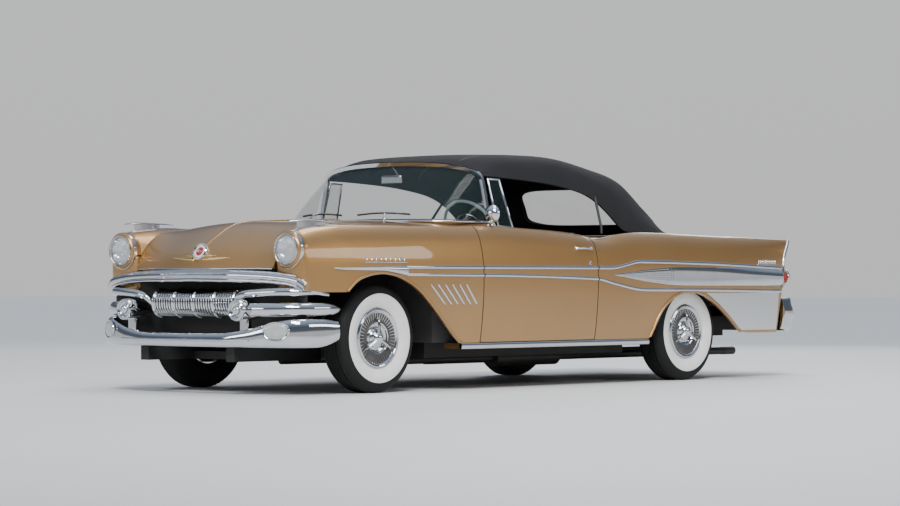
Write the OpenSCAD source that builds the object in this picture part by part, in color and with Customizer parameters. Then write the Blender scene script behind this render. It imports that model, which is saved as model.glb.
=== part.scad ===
// Full-size convertible car of the later 1950s, millimetres.
// X runs to the car's left, Y to its rear and Z up from the ground.
// The origin is on the ground, under the middle of the car.

/* [Overall sizes] */
// Width over the side pods
body_width = 1910; // [1600:10:2300]
// Distance between the axles
wheelbase = 3150; // [2600:10:3800]
// Length ahead of the front axle
front_overhang = 915; // [880:5:1100]
// Length behind the rear axle
rear_overhang = 1365; // [1250:5:1640]
// Height of the soft top above the ground
roof_height = 1545; // [1480:5:1700]

/* [Wheels] */
// Radius of the tyres
tyre_radius = 338; // [280:1:410]
// Width of the tyres
tyre_width = 208; // [170:1:250]
// Radius of the rims
rim_radius = 184; // [150:1:225]
// Distance between the middles of the front tyres
front_track = 1499; // [1440:1:1560]
// Distance between the middles of the rear tyres
rear_track = 1509; // [1440:1:1560]
// Offset of the kingpin inboard of the tyre's middle
kingpin_offset = 59.5; // [45:0.5:75]

/* [Panels and gaps] */
// Gap round the doors, the hood and the trunk lid
shut_gap = 8; // [6:0.5:10]
// Thickness of the fenders and other body panels
panel_thick = 20; // [10:1:25]
// Thickness of a door between its outer and inner faces, at the belt
door_thick = 150; // [110:1:180]
// Thickness of the soft top's cloth and padding
cloth_thick = 12; // [8:1:16]
// Thickness of the windshield glass
glass_thick = 6; // [4:0.5:9]

/* [Steering] */
// Radius of the steering wheel's rim
steering_wheel_radius = 212; // [180:1:240]
// Slope of the steering column in degrees
column_slope = 28; // [20:1:36]

/* [Hidden] */

// The car that the curves below are drawn on
drawn_width = 1910;
drawn_wheelbase = 3150;
drawn_front = 915;
drawn_rear = 1365;
drawn_front_axle = -1800;
drawn_rear_axle = 1350;
drawn_roof = 1545;
drawn_tyre = 338;
belt_height = 1060;

// Where things lie on the car that is built
total_length = front_overhang + wheelbase + rear_overhang;
front_axle = front_overhang - total_length / 2;
rear_axle = front_axle + wheelbase;
axle_height = tyre_radius;
lift = 2 * (tyre_radius - drawn_tyre);
kingpin_x = front_track / 2 - kingpin_offset;
seat_clear = 0.3;
pin_clear = 1;

// Places on the drawn car, carried to the car that is built
function across(x) = x * body_width / drawn_width;
function along(y) =
    y < drawn_front_axle ? front_axle + (y - drawn_front_axle) * front_overhang / drawn_front
    : y > drawn_rear_axle ? rear_axle + (y - drawn_rear_axle) * rear_overhang / drawn_rear
    : front_axle + (y - drawn_front_axle) * wheelbase / drawn_wheelbase;
function upward(z) = lift + (z <= belt_height ? z
    : belt_height + (z - belt_height) * (roof_height - belt_height) / (drawn_roof - belt_height));
function place(p) = [across(p.x), along(p.y), upward(p.z)];

// Smooth curve through the rows [place, value, ...] of a table, with no overshoot
function row_at(t, k, i = 0) = i >= len(t) - 2 || k < t[i + 1][0] ? i : row_at(t, k, i + 1);
function rise(t, i, c) = (t[i + 1][c] - t[i][c]) / (t[i + 1][0] - t[i][0]);
function lean(t, i, c) =
    i == 0 ? rise(t, 0, c)
    : i == len(t) - 1 ? rise(t, i - 1, c)
    : let (a = rise(t, i - 1, c), b = rise(t, i, c)) a * b <= 0 ? 0 : 2 * a * b / (a + b);
function curve(t, k, c = 1) =
    let (
        i = row_at(t, k),
        h = t[i + 1][0] - t[i][0],
        s = max(0, min(1, (k - t[i][0]) / h))
    )
    t[i][c] * (2 * s - 3) * s * s + t[i][c]
    + h * lean(t, i, c) * s * (s - 1) * (s - 1)
    + t[i + 1][c] * (3 - 2 * s) * s * s
    + h * lean(t, i + 1, c) * s * s * (s - 1);
function point3(t, k) = [curve(t, k, 1), curve(t, k, 2), curve(t, k, 3)];
function steps(a, b, n) = [for (i = [0:n]) a + (b - a) * i / n];
function unit(v) = v / norm(v);

// Closed shells between an outer and an inner grid of points
function flat(g) = [for (row = g) for (p = row) p];
function normal_at(g, i, j) =
    let (
        n = len(g) - 1, m = len(g[0]) - 1,
        a = g[min(i + 1, n)][j] - g[max(i - 1, 0)][j],
        b = g[i][min(j + 1, m)] - g[i][max(j - 1, 0)]
    )
    unit(cross(a, b));
function inset_grid(g, t) = [
    for (i = [0:len(g) - 1]) [for (j = [0:len(g[0]) - 1]) g[i][j] - t * normal_at(g, i, j)]
];
// Closed solid from points and triangles, with its faces turned outward
module closed(points, faces) {
    parts = [for (f = faces) points[f[0]] * cross(points[f[1]], points[f[2]])];
    outward = parts * [for (f = faces) 1] < 0;
    polyhedron(points = points, faces = outward ? faces : [for (f = faces) [f[0], f[2], f[1]]]);
}
module shell(outer, inner) {
    n = len(outer);
    m = len(outer[0]);
    k = n * m;
    faces = concat(
        [for (i = [0:n - 2]) for (j = [0:m - 2]) each [
            [i * m + j, i * m + j + 1, (i + 1) * m + j + 1],
            [i * m + j, (i + 1) * m + j + 1, (i + 1) * m + j],
            [k + i * m + j, k + (i + 1) * m + j + 1, k + i * m + j + 1],
            [k + i * m + j, k + (i + 1) * m + j, k + (i + 1) * m + j + 1]
        ]],
        [for (j = [0:m - 2]) each [
            [j, k + j + 1, j + 1],
            [j, k + j, k + j + 1],
            [(n - 1) * m + j, (n - 1) * m + j + 1, k + (n - 1) * m + j + 1],
            [(n - 1) * m + j, k + (n - 1) * m + j + 1, k + (n - 1) * m + j]
        ]],
        [for (i = [0:n - 2]) each [
            [i * m, (i + 1) * m, k + (i + 1) * m],
            [i * m, k + (i + 1) * m, k + i * m],
            [i * m + m - 1, k + (i + 1) * m + m - 1, (i + 1) * m + m - 1],
            [i * m + m - 1, k + i * m + m - 1, k + (i + 1) * m + m - 1]
        ]]
    );
    closed(concat(flat(outer), flat(inner)), faces);
}
module panel(g, t) shell(g, inset_grid(g, t));

// Solid through closed rings of points, with a fan at each end
module loft(rings) {
    n = len(rings);
    m = len(rings[0]);
    middle = function(r) [for (c = [0:2]) let (s = [for (p = r) p[c]]) (min(s) + max(s)) / 2];
    points = concat(flat(rings), [middle(rings[0]), middle(rings[n - 1])]);
    faces = concat(
        [for (i = [0:n - 2]) for (j = [0:m - 1]) let (q = (j + 1) % m) each [
            [i * m + j, (i + 1) * m + q, i * m + q],
            [i * m + j, (i + 1) * m + j, (i + 1) * m + q]
        ]],
        [for (j = [0:m - 1]) [n * m, j, (j + 1) % m]],
        [for (j = [0:m - 1]) [n * m + 1, (n - 1) * m + (j + 1) % m, (n - 1) * m + j]]
    );
    closed(points, faces);
}
// Direction of a path at one of its points, and a section set square to it
function path_way(path, i) = unit(path[min(i + 1, len(path) - 1)] - path[max(i - 1, 0)]);
function ring_on(path, i, section, up) =
    let (w = path_way(path, i), side = unit(cross(w, up)), rise_way = cross(side, w))
    [for (q = section) path[i] + side * q[0] + rise_way * q[1]];
module sweep(path, section, up = [0, 0, 1])
    loft([for (i = [0:len(path) - 1]) ring_on(path, i, section, up)]);
function mirrored_path(half) = concat(
    [for (i = [len(half) - 1:-1:1]) [-half[i].x, half[i].y, half[i].z]], half);
module both_sides() {
    children();
    mirror([1, 0, 0]) children();
}
function round_section(r, n) = [for (i = [0:n - 1]) r * [cos(360 * i / n), sin(360 * i / n)]];

// Shape of the car's side: half width by height, below the shoulder
shoulder_height = 890;
side_shape = [[240, 903], [340, 921], [480, 938], [690, 950], [780, 948], [shoulder_height, 930]];
// Share of the way from the shoulder to the crown: height, then inward
shoulder_curve = [[0, 0], [0.45, 0.21], [0.71, 0.435], [0.9, 0.73], [1, 1]];
// Narrowing in plan towards the nose and the tail
plan_shape = [
    [-2560, 0.885], [-2447, 0.905], [-2300, 0.935], [-2172, 0.955], [-1900, 0.975], [-1600, 0.987],
    [-1200, 0.997], [-930, 1], [800, 1], [1500, 0.998], [1887, 0.99], [2200, 0.975], [2545, 0.955]
];
// Crown along the top of the fender, the door and the rear quarter: place, half width, height
crown_line = [
    [-2560, 740, 985], [-2440, 750, 1000], [-2360, 765, 1016], [-2150, 800, 1030], [-1600, 835, 1033],
    [-1141, 845, 1037], [-930, 845, 1043], [-758, 846, 1048], [-459, 848, 1035], [-152, 850, 1023],
    [120, 850, 1004], [237, 850, 984], [339, 850, 975], [441, 850, 985], [506, 850, 999],
    [594, 850, 1011], [815, 850, 1020], [1500, 850, 1012], [2099, 855, 998], [2560, 868, 984]
];
// Inner edge of the fender beside the hood and the cowl: place, half width, height
hood_seam = [
    [-2560, 610, 700], [-2480, 610, 780], [-2420, 612, 885], [-2330, 620, 962], [-2250, 630, 998],
    [-2100, 648, 1008], [-1600, 680, 1018], [-1262, 700, 1028], [-1100, 730, 1034], [-930, 775, 1036]
];
// Inner edge of the rear quarter beside the cabin, the soft top and the trunk lid
deck_seam = [
    [230, 802, 966], [500, 800, 985], [794, 796, 1004], [900, 780, 1008], [1100, 760, 1010],
    [1300, 716, 1010], [1400, 680, 1009], [1480, 652, 1007], [1640, 626, 1000], [2000, 606, 978],
    [2300, 592, 954], [2560, 584, 925]
];
// Lower edges: place, height
front_arch = [
    [-2560, 622], [-2150, 624], [-2110, 662], [-2060, 697], [-2000, 718], [-1930, 733], [-1856, 738],
    [-1750, 725], [-1640, 690], [-1535, 634], [-1440, 560], [-1342, 477], [-1235, 382], [-1160, 322],
    [-1120, 300], [-900, 300]
];
rear_arch = [
    [200, 300], [835, 300], [862, 350], [895, 412], [940, 478], [1010, 540], [1100, 588], [1200, 610],
    [1320, 610], [1432, 588], [1560, 530], [1700, 450], [1800, 386], [1887, 332], [1920, 322],
    [2560, 320]
];
// Rear edge of the quarter by height
tail_edge = [[320, 2385], [560, 2405], [640, 2425], [800, 2440], [984, 2545]];
tail_start = 2180;

function side_x(y, z) = curve(plan_shape, y) * curve(side_shape, z);
function tail_y(y, z) = y <= tail_start ? y
    : tail_start + (y - tail_start) * (curve(tail_edge, z) - tail_start) / (2545 - tail_start);
low_shares = [0, 0.1, 0.22, 0.36, 0.5, 0.64, 0.78, 0.9, 1];
high_shares = [0.3, 0.55, 0.76, 0.91, 1];
inward_shares = [0.25, 0.5, 0.75, 1];
function low_points(y, low) = [
    for (f = low_shares) let (z = low + f * (shoulder_height - low)) [side_x(y, z), tail_y(y, z), z]
];
function high_points(y) =
    let (w = side_x(y, shoulder_height), cx = curve(crown_line, y), cz = curve(crown_line, y, 2))
    [for (t = high_shares)
        let (z = shoulder_height + t * (cz - shoulder_height))
        [w + (cx - w) * curve(shoulder_curve, t), tail_y(y, z), z]];
function inward_points(y, seam, power) =
    let (
        cx = curve(crown_line, y), cz = curve(crown_line, y, 2),
        sx = curve(seam, y) + shut_gap / 2, sz = curve(seam, y, 2)
    )
    [for (a = inward_shares)
        let (z = cz + (sz - cz) * pow(a, power)) [cx + (sx - cx) * a, tail_y(y, z), z]];
function wing_grid(places, edge, seam, power) = [
    for (y = places) [
        for (p = concat(low_points(y, curve(edge, y)), high_points(y), inward_points(y, seam, power)))
            place(p)
    ]
];

door_front = -930;
door_rear = 237;
door_bottom = 302;
gap_half = shut_gap / 2;
// Inner face of a door and the edge of the cabin beside it
door_inner = side_shape[5][1] - door_thick;
cabin_edge = door_inner - 9;

module left_front_fender() {
    places = [
        -2440, -2380, -2310, -2230, -2175, -2150, -2110, -2060, -2000, -1930, -1856, -1750, -1640,
        -1535, -1440, -1342, -1290, -1235, -1160, -1120, -1060, -990, door_front - gap_half
    ];
    color("goldenrod") panel(wing_grid(places, front_arch, hood_seam, 2.4), panel_thick);
}
module right_front_fender() mirror([1, 0, 0]) left_front_fender();

module left_rear_quarter() {
    places = [
        door_rear + gap_half, 290, 339, 390, 441, 506, 594, 700, 780, 835, 862, 895, 940, 1010, 1100,
        1200, 1320, 1432, 1560, 1700, 1800, 1887, 1960, 2070, tail_start, 2300, 2420, 2490, 2545
    ];
    color("goldenrod") panel(wing_grid(places, rear_arch, deck_seam, 1.6), panel_thick);
}
module right_rear_quarter() mirror([1, 0, 0]) left_rear_quarter();

// A door: its outer face follows the side, its inner face is flat, its rear edge is bevelled
module left_door() {
    places = concat([door_front + gap_half], steps(-860, 160, 12), [205, door_rear - gap_half]);
    inner_x = across(door_inner);
    bevel = 16;
    rows = [for (y = places) concat(low_points(y, door_bottom), high_points(y),
        [[820, y, curve(crown_line, y, 2) - 4], [door_inner + 5, y, curve(crown_line, y, 2) - 9]])];
    outer = [for (row = rows) [for (p = row) place(p)]];
    front_y = outer[0][0].y;
    rear_y = outer[len(outer) - 1][0].y;
    top_drop = 26;
    lows = len(low_shares);
    inner = [for (row = outer)
        let (m = len(row), start = row[lows - 1].z, high = row[m - 3].z - top_drop)
        [for (j = [0:m - 1]) let (p = row[j]) [
            inner_x,
            p.y - bevel * (p.y - front_y) / (rear_y - front_y),
            j < lows ? p.z : start + (high - start) * (j - lows + 1) / (m - lows)
        ]]];
    color("goldenrod") shell(outer, inner);
}
module right_door() mirror([1, 0, 0]) left_door();

// Hood: its middle, quarter and side lines from the cowl to the lip above the grille
hood_middle = [
    [0, 0, -1292, 1088], [0.12, 0, -1450, 1086], [0.3, 0, -1700, 1078], [0.48, 0, -1940, 1068],
    [0.62, 0, -2127, 1062], [0.7, 0, -2240, 1040], [0.77, 0, -2327, 997], [0.83, 0, -2404, 950],
    [0.92, 0, -2513, 866], [1, 0, -2557, 768]
];
hood_quarter = [
    [0, 360, -1288, 1078], [0.12, 358, -1448, 1075], [0.3, 352, -1700, 1065], [0.48, 345, -1940, 1054],
    [0.62, 338, -2120, 1044], [0.7, 332, -2226, 1020], [0.77, 328, -2308, 980], [0.83, 325, -2380, 934],
    [0.92, 322, -2480, 856], [1, 320, -2528, 768]
];
hood_edge_rows = [0, 0.12, 0.3, 0.48, 0.62, 0.7, 0.77, 0.83, 0.92, 1];
hood_edge_places = [-1272, -1440, -1690, -1930, -2100, -2195, -2262, -2330, -2425, -2485];
hood_edge = [for (i = [0:len(hood_edge_rows) - 1]) let (y = hood_edge_places[i])
    [hood_edge_rows[i], curve(hood_seam, y), y, curve(hood_seam, y, 2)]];
// Bow of a line across the car: through the middle, the quarter and the edge, level at the middle
function across_bow(mid, quart, edge, s) =
    let (x = s * edge.x, q = quart.x / edge.x, a = abs(s))
    let (
        k1 = (quart - mid) / (q * q), k2 = (edge - mid - k1) / (1 - q * q),
        bend = function(c) mid[c] + a * a * (k1[c] + k2[c] * (a * a - q * q))
    )
    [x, bend(1), bend(2)];
function hood_point(u, s) =
    let (p = across_bow(point3(hood_middle, u), point3(hood_quarter, u), point3(hood_edge, u), s))
    place(p) - [sign(s) * gap_half * (abs(s) > 0.999 ? 1 : abs(s)), 0, 0];
module hood() {
    rows = concat(steps(0, 0.6, 7), [0.65, 0.69, 0.73, 0.77, 0.8, 0.83, 0.875, 0.92, 0.96, 1]);
    g = [for (u = rows) [for (s = steps(-1, 1, 16)) hood_point(u, s)]];
    color("goldenrod") panel(g, panel_thick);
}

// Trunk lid: from the deck over the tail down to the bumper
lid_middle = [
    [0, 0, 1650, 1010], [0.3, 0, 2000, 994], [0.55, 0, 2330, 960], [0.68, 0, 2480, 930],
    [0.76, 0, 2565, 890], [0.84, 0, 2604, 800], [0.92, 0, 2618, 700], [1, 0, 2624, 612]
];
lid_quarter = [
    [0, 330, 1648, 1008], [0.3, 325, 2000, 990], [0.55, 318, 2325, 956], [0.68, 315, 2468, 928],
    [0.76, 313, 2552, 886], [0.84, 312, 2592, 800], [0.92, 311, 2606, 700], [1, 311, 2612, 612]
];
lid_edge = [
    [0, 624, 1645, 1000], [0.3, 606, 1990, 979], [0.55, 592, 2310, 953], [0.68, 587, 2440, 937],
    [0.76, 584, 2520, 898], [0.84, 583, 2560, 800], [0.92, 582, 2575, 700], [1, 582, 2580, 612]
];
function lid_point(u, s) =
    let (p = across_bow(point3(lid_middle, u), point3(lid_quarter, u), point3(lid_edge, u), s))
    place(p) - [sign(s) * gap_half * abs(s), 0, 0];
module trunk_lid() {
    rows = concat(steps(0, 0.6, 6), [0.65, 0.69, 0.73, 0.77, 0.81, 0.86, 0.93, 1]);
    g = [for (u = rows) [for (s = steps(1, -1, 12)) lid_point(u, s)]];
    color("goldenrod") panel(g, panel_thick);
}

// Soft top: lines from the windshield header over the roof and down to the deck
top_middle = [
    [0, 0, -764, 1470], [0.06, 0, -660, 1497], [0.14, 0, -500, 1524], [0.24, 0, -250, 1541],
    [0.36, 0, 100, 1545], [0.48, 0, 450, 1526], [0.58, 0, 760, 1478], [0.66, 0, 960, 1436],
    [0.72, 0, 1080, 1392], [0.8, 0, 1215, 1290], [0.9, 0, 1400, 1150], [1, 0, 1560, 1027]
];
top_shoulder = [
    [0, 500, -698, 1446], [0.06, 500, -620, 1484], [0.14, 503, -480, 1513], [0.24, 505, -250, 1528],
    [0.36, 505, 100, 1530], [0.48, 505, 400, 1510], [0.58, 505, 680, 1458], [0.66, 505, 880, 1424],
    [0.72, 505, 1020, 1376], [0.8, 505, 1150, 1290], [0.9, 500, 1340, 1160], [1, 490, 1520, 1023.6]
];
top_corner = [
    [0, 640, -662, 1413], [0.06, 642, -590, 1440], [0.14, 648, -460, 1462], [0.24, 652, -250, 1473],
    [0.36, 655, 80, 1465], [0.48, 655, 360, 1430], [0.58, 656, 590, 1370], [0.66, 660, 770, 1300],
    [0.72, 664, 900, 1240], [0.8, 668, 1030, 1160], [0.9, 655, 1200, 1090], [1, 600, 1440, 1021.6]
];
top_rail = [
    [0, 690, -640, 1376], [0.06, 692, -570, 1372], [0.14, 693, -420, 1365], [0.24, 694, -230, 1355],
    [0.36, 695, 40, 1336], [0.44, 696, 260, 1306], [0.5, 697, 440, 1274], [0.55, 699, 560, 1214],
    [0.6, 703, 665, 1142], [0.65, 712, 750, 1070], [0.69, 730, 800, 1028], [0.8, 738, 980, 1026],
    [0.9, 715, 1200, 1023], [1, 655, 1400, 1019.6]
];
top_across = [0, 0.2, 0.4, 0.58, 0.7, 0.78, 0.85, 0.92, 0.96, 1];
function top_half(u, s) =
    let (
        rows = [[0, top_middle], [0.58, top_shoulder], [0.85, top_corner], [1, top_rail]],
        knots = [for (r = rows) let (p = point3(r[1], u)) [r[0], p.x, p.y, p.z]]
    )
    let (p = point3(knots, s), m = knots[0], h = knots[1])
    s >= h[0] ? p : [h[1] * s / h[0], m[2] + (h[2] - m[2]) * pow(s / h[0], 2),
        m[3] + (h[3] - m[3]) * pow(s / h[0], 2)];
function top_row(u, inset) =
    let (half = [for (s = top_across) place(top_half(u, s))])
    concat([for (i = [len(half) - 1:-1:1]) half[i]], [for (p = half) [-p.x, p.y, p.z]]);
top_rows = concat(steps(0, 0.12, 3), steps(0.18, 0.6, 7), [0.63, 0.66, 0.69, 0.72, 0.76, 0.8, 0.85,
    0.9, 0.95, 1]);
top_grid = [for (u = top_rows) top_row(u)];
module soft_top() {
    color([0.12, 0.12, 0.13]) panel(top_grid, cloth_thick);
}

// Steel bows under the cloth
module top_bows() {
    bow_rows = [[5, 1.1], [8, 2.4], [11, 4.3]];
    depth = 12;
    m = len(top_grid[0]);
    color("dimgray") for (bow = bow_rows) let (under = inset_grid(top_grid,
        cloth_thick + bow[1] + depth / 2))
        sweep([for (j = [2:m - 3]) under[bow[0]][j]], [[-6, -14], [6, -14], [6, 14], [-6, 14]], [0, 1, 0]);
}

// Windshield: base and top lines from the middle to the pillar
glass_base = [
    [0, 0, -1200, 1078], [0.25, 200, -1193, 1078], [0.5, 420, -1160, 1077], [0.66, 580, -1105, 1076],
    [0.76, 680, -1030, 1074], [0.85, 735, -920, 1072], [0.93, 754, -790, 1071], [1, 752, -672, 1071]
];
glass_top = [
    [0, 0, -790, 1452], [0.25, 190, -780, 1449], [0.5, 385, -757, 1440], [0.66, 510, -735, 1426],
    [0.76, 585, -718, 1412], [0.85, 640, -700, 1396], [0.93, 672, -686, 1381], [1, 690, -672, 1366]
];
glass_across = [0, 0.12, 0.25, 0.38, 0.5, 0.6, 0.68, 0.76, 0.83, 0.9, 0.95, 1];
glass_bulge = 26;
function glass_point(s, f) =
    let (a = point3(glass_base, s), b = point3(glass_top, s), w = unit([a.x * 0.55, a.y + 560, 0]))
    a + (b - a) * f + w * glass_bulge * 4 * f * (1 - f);
module windshield_glass() {
    inset = 0.012;
    side = [for (s = glass_across) [for (f = steps(inset, 1 - inset, 4)) place(glass_point(s * 0.985, f))]];
    g = concat([for (i = [len(side) - 1:-1:1]) [for (p = side[i]) [-p.x, p.y, p.z]]], side);
    color([0.7, 0.85, 0.85, 0.4]) panel(g, glass_thick);
}
// Header and pillars, with a lower rail on the cowl
module windshield_frame() {
    header = [for (s = glass_across) place(point3(glass_top, s) + [0, 4, 9])];
    pillar = [for (f = [0.86, 0.66, 0.46, 0.26, 0.05])
        place(point3(glass_base, 1) * (1 - f) + point3(glass_top, 1) * f + [1, 14, 0])];
    path = mirrored_path(concat([for (i = [0:len(header) - 2]) header[i]],
        [place(point3(glass_top, 1) + [-3, 10, 4])], pillar));
    color("silver") sweep(path, [[-13, -8], [13, -12], [13, 12], [-13, 12]], [0, 1, 0.2]);
}

// Cowl between the hood and the windshield, with a tongue down each side
cowl_outer = [
    [0, 0, -1284, 1088], [0.2, 200, -1283, 1085], [0.4, 420, -1278, 1074], [0.55, 600, -1268, 1048],
    [0.62, 692, -1256, 1030], [0.75, 723, -1100, 1036], [0.88, 766, -936, 1046], [0.94, cabin_edge,
        -800, 1058],
    [1, cabin_edge, -650, 1058]
];
cowl_inner = [
    [0, 0, -1170, 1076], [0.2, 190, -1163, 1076], [0.4, 395, -1130, 1075], [0.55, 545, -1083, 1074],
    [0.62, 620, -1040, 1073], [0.75, 685, -960, 1070], [0.88, 726, -860, 1068], [0.94, 736, -780, 1067],
    [1, 734, -650, 1067]
];
module cowl_panel() {
    half = [for (s = [0, 0.1, 0.2, 0.3, 0.4, 0.48, 0.55, 0.62, 0.68, 0.75, 0.82, 0.88, 0.94, 1])
        [for (f = steps(0, 1, 3))
            let (a = point3(cowl_outer, s), b = point3(cowl_inner, s), way = across(a.x)
                > 600 ? gap_half : 0)
            place(a + (b - a) * f - [0, 0, (1 - f) * f * 6]) - [way * (1 - f) * 0.5, 0, 0]]];
    g = concat([for (i = [len(half) - 1:-1:1]) [for (p = half[i]) [-p.x, p.y, p.z]]], half);
    color("goldenrod") panel(g, 14);
}

// Panel between the soft top and the trunk lid
module tulip_panel() {
    tulip_half = 642.3;
    outer_y = function(x) 1640 - shut_gap - 3 * pow(x / 620, 2);
    inner_y = function(x) 1536 - 70 * pow(abs(x) / 620, 2.6);
    g = [for (x = steps(-tulip_half, tulip_half, 18)) [for (f = steps(0, 1, 2))
        let (y0 = inner_y(x), y = y0 + (outer_y(x) - y0) * f)
        place([x * (y > 1560 ? 1 - (y - 1560) * 0.0003 : 1), y, 1016 - 8 * pow(x / 620, 2) - 8 * f])]];
    color("goldenrod") panel(g, 14);
}

// Corners of the tail beside the trunk lid, and the plate below it
tail_inner = [
    [0, 598, 2500, 900], [0.3, 592, 2532, 870], [0.55, 591, 2560, 800], [0.8, 590, 2573, 700], [1, 590,
        2578, 612]
];
tail_outer = [
    [0, 806, 2478, 905], [0.3, 830, 2468, 870], [0.55, 836.5, 2450, 800],
    [0.72, 837.5, 2442, 716], [0.88, 842.5, 2438, 650], [1, 886, 2430, 612]
];
module tail_panel() {
    g = [for (u = steps(0, 1, 8)) [for (f = steps(1, 0, 5))
        let (a = point3(tail_inner, u), b = point3(tail_outer, u)) place(a + (b - a) * f)]];
    color("goldenrod") both_sides() panel(g, 14);
    color("goldenrod") difference() {
        translate([-across(850), along(2405), upward(330)]) cube([across(1700), 14, 272]);
        both_sides() translate([across(rear_rail) - 6, along(2405) - 1, upward(330) - 1])
            cube([rail_wide + 12, 16, rail_tall + 12]);
    }
}

// Half-round pods along the rear quarters, pointed at the front
pod_spine = [[400, 732, 2], [520, 730, 14], [700, 727, 34], [900, 724, 50], [1031, 723, 60], [1200, 722, 63],
    [2000, 717, 63], [2440, 712, 61]];
pod_reach = [[400, 1], [700, 3], [1031, 3.5], [1500, 5], [1800, 10], [2100, 22], [2440, 39]];
module side_pods() {
    places = concat([400, 450, 520, 600, 700, 800, 900, 1031], steps(1150, 2400, 10));
    angles = steps(-1, 1, 6);
    inner = [for (y = places) [for (a = angles)
        let (z = curve(pod_spine, y) + curve(pod_spine, y, 2) * a)
        place([side_x(y, z), min(y, tail_y(y, z) + 40), z]) + [seat_clear, 0, 0]]];
    outer = [for (i = [0:len(places) - 1]) [for (j = [0:len(angles) - 1])
        inner[i][j] + [2 + curve(pod_reach, places[i]) * sqrt(max(0, 1 - pow(angles[j], 2))), 0, 0]]];
    color("silver") both_sides() shell(outer, inner);
}

// Chrome bar across the nose, over the grille, with its ends turned down
bar_path = [
    [0, 0, -2560, 716], [0.3, 300, -2550, 712], [0.55, 560, -2518, 704], [0.75, 730, -2484, 690],
    [0.9, 815, -2472, 674], [1, 846, -2469, 655]
];
module grille_bar() {
    half = [for (s = [0, 0.12, 0.25, 0.4, 0.55, 0.66, 0.76, 0.84, 0.92, 1]) place(point3(bar_path, s))];
    section = [[-38, -26], [-38, 28], [-18, 36], [0, 28], [4, -6], [-10, -28]];
    color("silver") sweep(mirrored_path(half), [for (q = section) [-q[0], q[1]]]);
}

// Barrel grille between the bumper guards
grille_radius = 83;
module grille() {
    back = along(-2330) - seat_clear;
    color("silver") union() {
        translate([-across(352), along(-2498), upward(554)]) rotate([0, 90, 0])
            cylinder(h = across(704), r = grille_radius, $fn = 96);
        for (x = [-across(320) - 30, across(320)]) translate([x, along(-2498), upward(540)])
            cube([30, back - along(-2498), 28]);
    }
}

// Front bumper: a low bar, a tube round each corner and a bullet guard
low_bar = [
    [0, 0, -2670, 372], [0.3, 330, -2662, 376], [0.5, 530, -2640, 400], [0.66, 690, -2600, 440],
    [0.78, 805, -2545, 460], [0.87, 868, -2465, 464], [0.94, 893, -2340, 462], [1, 900, -2220, 452]
];
corner_tube = [
    [0, 497, -2610, 514], [0.25, 620, -2590, 516], [0.45, 730, -2540, 518], [0.65, 812, -2460, 520],
    [0.82, 850, -2360, 520], [1, 858, -2182, 519]
];
bar_bottom = 290;
tube_radius = 44;
guard_radius = 58;
module bumper_guard() {
    rotate([90, 0, 0]) rotate_extrude($fn = 32) polygon([
        [0, -40], [guard_radius, -40], [guard_radius, 20], [guard_radius - 3, 50], [guard_radius - 14, 72],
        [guard_radius - 32, 84], [0, 90]
    ]);
}
module low_bar_solid() {
    half = [for (s = [0, 0.15, 0.3, 0.42, 0.52, 0.62, 0.7, 0.78, 0.85, 0.92, 1]) place(point3(low_bar, s))];
    path = mirrored_path(half);
    base = upward(bar_bottom);
    rings = [for (i = [0:len(path) - 1])
        let (
            p = path[i], way = path_way([for (q = path) [q.x, q.y, 0]], i), out = [way.y, -way.x, 0],
            foot = [p.x, p.y, base], tall = p.z - base
        )
        [for (q = [[-30, 0], [0, 0], [10, 14], [11, tall * 0.55], [2, tall * 0.85], [-14, tall], [-30,
            tall - 8]])
            foot + out * q[0] + [0, 0, q[1]]]];
    loft(rings);
}
module front_bumper() {
    tube = [for (s = steps(0, 1, 11)) place(point3(corner_tube, s))];
    color("silver") resize([0, 0, 0]) union() {
        low_bar_solid();
        both_sides() {
            sweep(tube, round_section(tube_radius, 12));
            translate(place([497, -2625, 514])) bumper_guard();
            translate(place([472, -2640, 0]) + [0, 0, bar_bottom + 20]) cube([50, 40, 190]);
        }
    }
}

// Rear bumper: a deep bar round the tail, thinner at its ends
rear_path = [
    [0, 0, 2690, 320], [0.35, 380, 2684, 320], [0.55, 580, 2670, 320], [0.72, 740, 2652, 322],
    [0.84, 840, 2616, 325], [0.93, 888, 2535, 332], [1, 900, 2425, 345]
];
module rear_bumper() {
    half = [for (s = [0, 0.12, 0.24, 0.36, 0.48, 0.58, 0.66, 0.74, 0.8, 0.86, 0.91, 0.96, 1])
        place(point3(rear_path, s))];
    path = mirrored_path(half);
    top = upward(571);
    rings = [for (i = [0:len(path) - 1])
        let (
            p = path[i], way = path_way([for (q = path) [q.x, q.y, 0]], i), out = [-way.y, way.x, 0],
            tall = top - p.z
        )
        [for (q = [
            [-34, 0], [-34, tall], [-20, tall], [-2, tall * 0.92], [8, tall * 0.72], [25, tall * 0.54],
            [8, tall * 0.36], [-4, tall * 0.12], [-20, 0]
        ])
            p + out * q[0] + [0, 0, q[1]]]];
    color("silver") loft(rings);
}

lamp_x = 736;
lamp_height = 881;
lamp_front = -2504;
bezel_radius = 112;
module headlamps() {
    color("silver") both_sides() translate(place([lamp_x, -2439.85, lamp_height])) rotate([90, 0, 0])
        rotate_extrude($fn = 64) polygon([
            [0, -50], [66, -50], [78, 0.5], [bezel_radius - 6, 0.5], [bezel_radius, 12], [bezel_radius, 55],
            [bezel_radius - 10, 70], [90, 66], [60, 60], [0, 68]
        ]);
}
module tail_lamps() {
    color("firebrick") both_sides() translate(place([888, 2435.2, 716])) rotate([-90, 0, 0])
        rotate_extrude($fn = 48) polygon([[0, 0], [50, 0], [50, 30], [42, 50], [22, 60], [0, 62]]);
}

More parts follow.
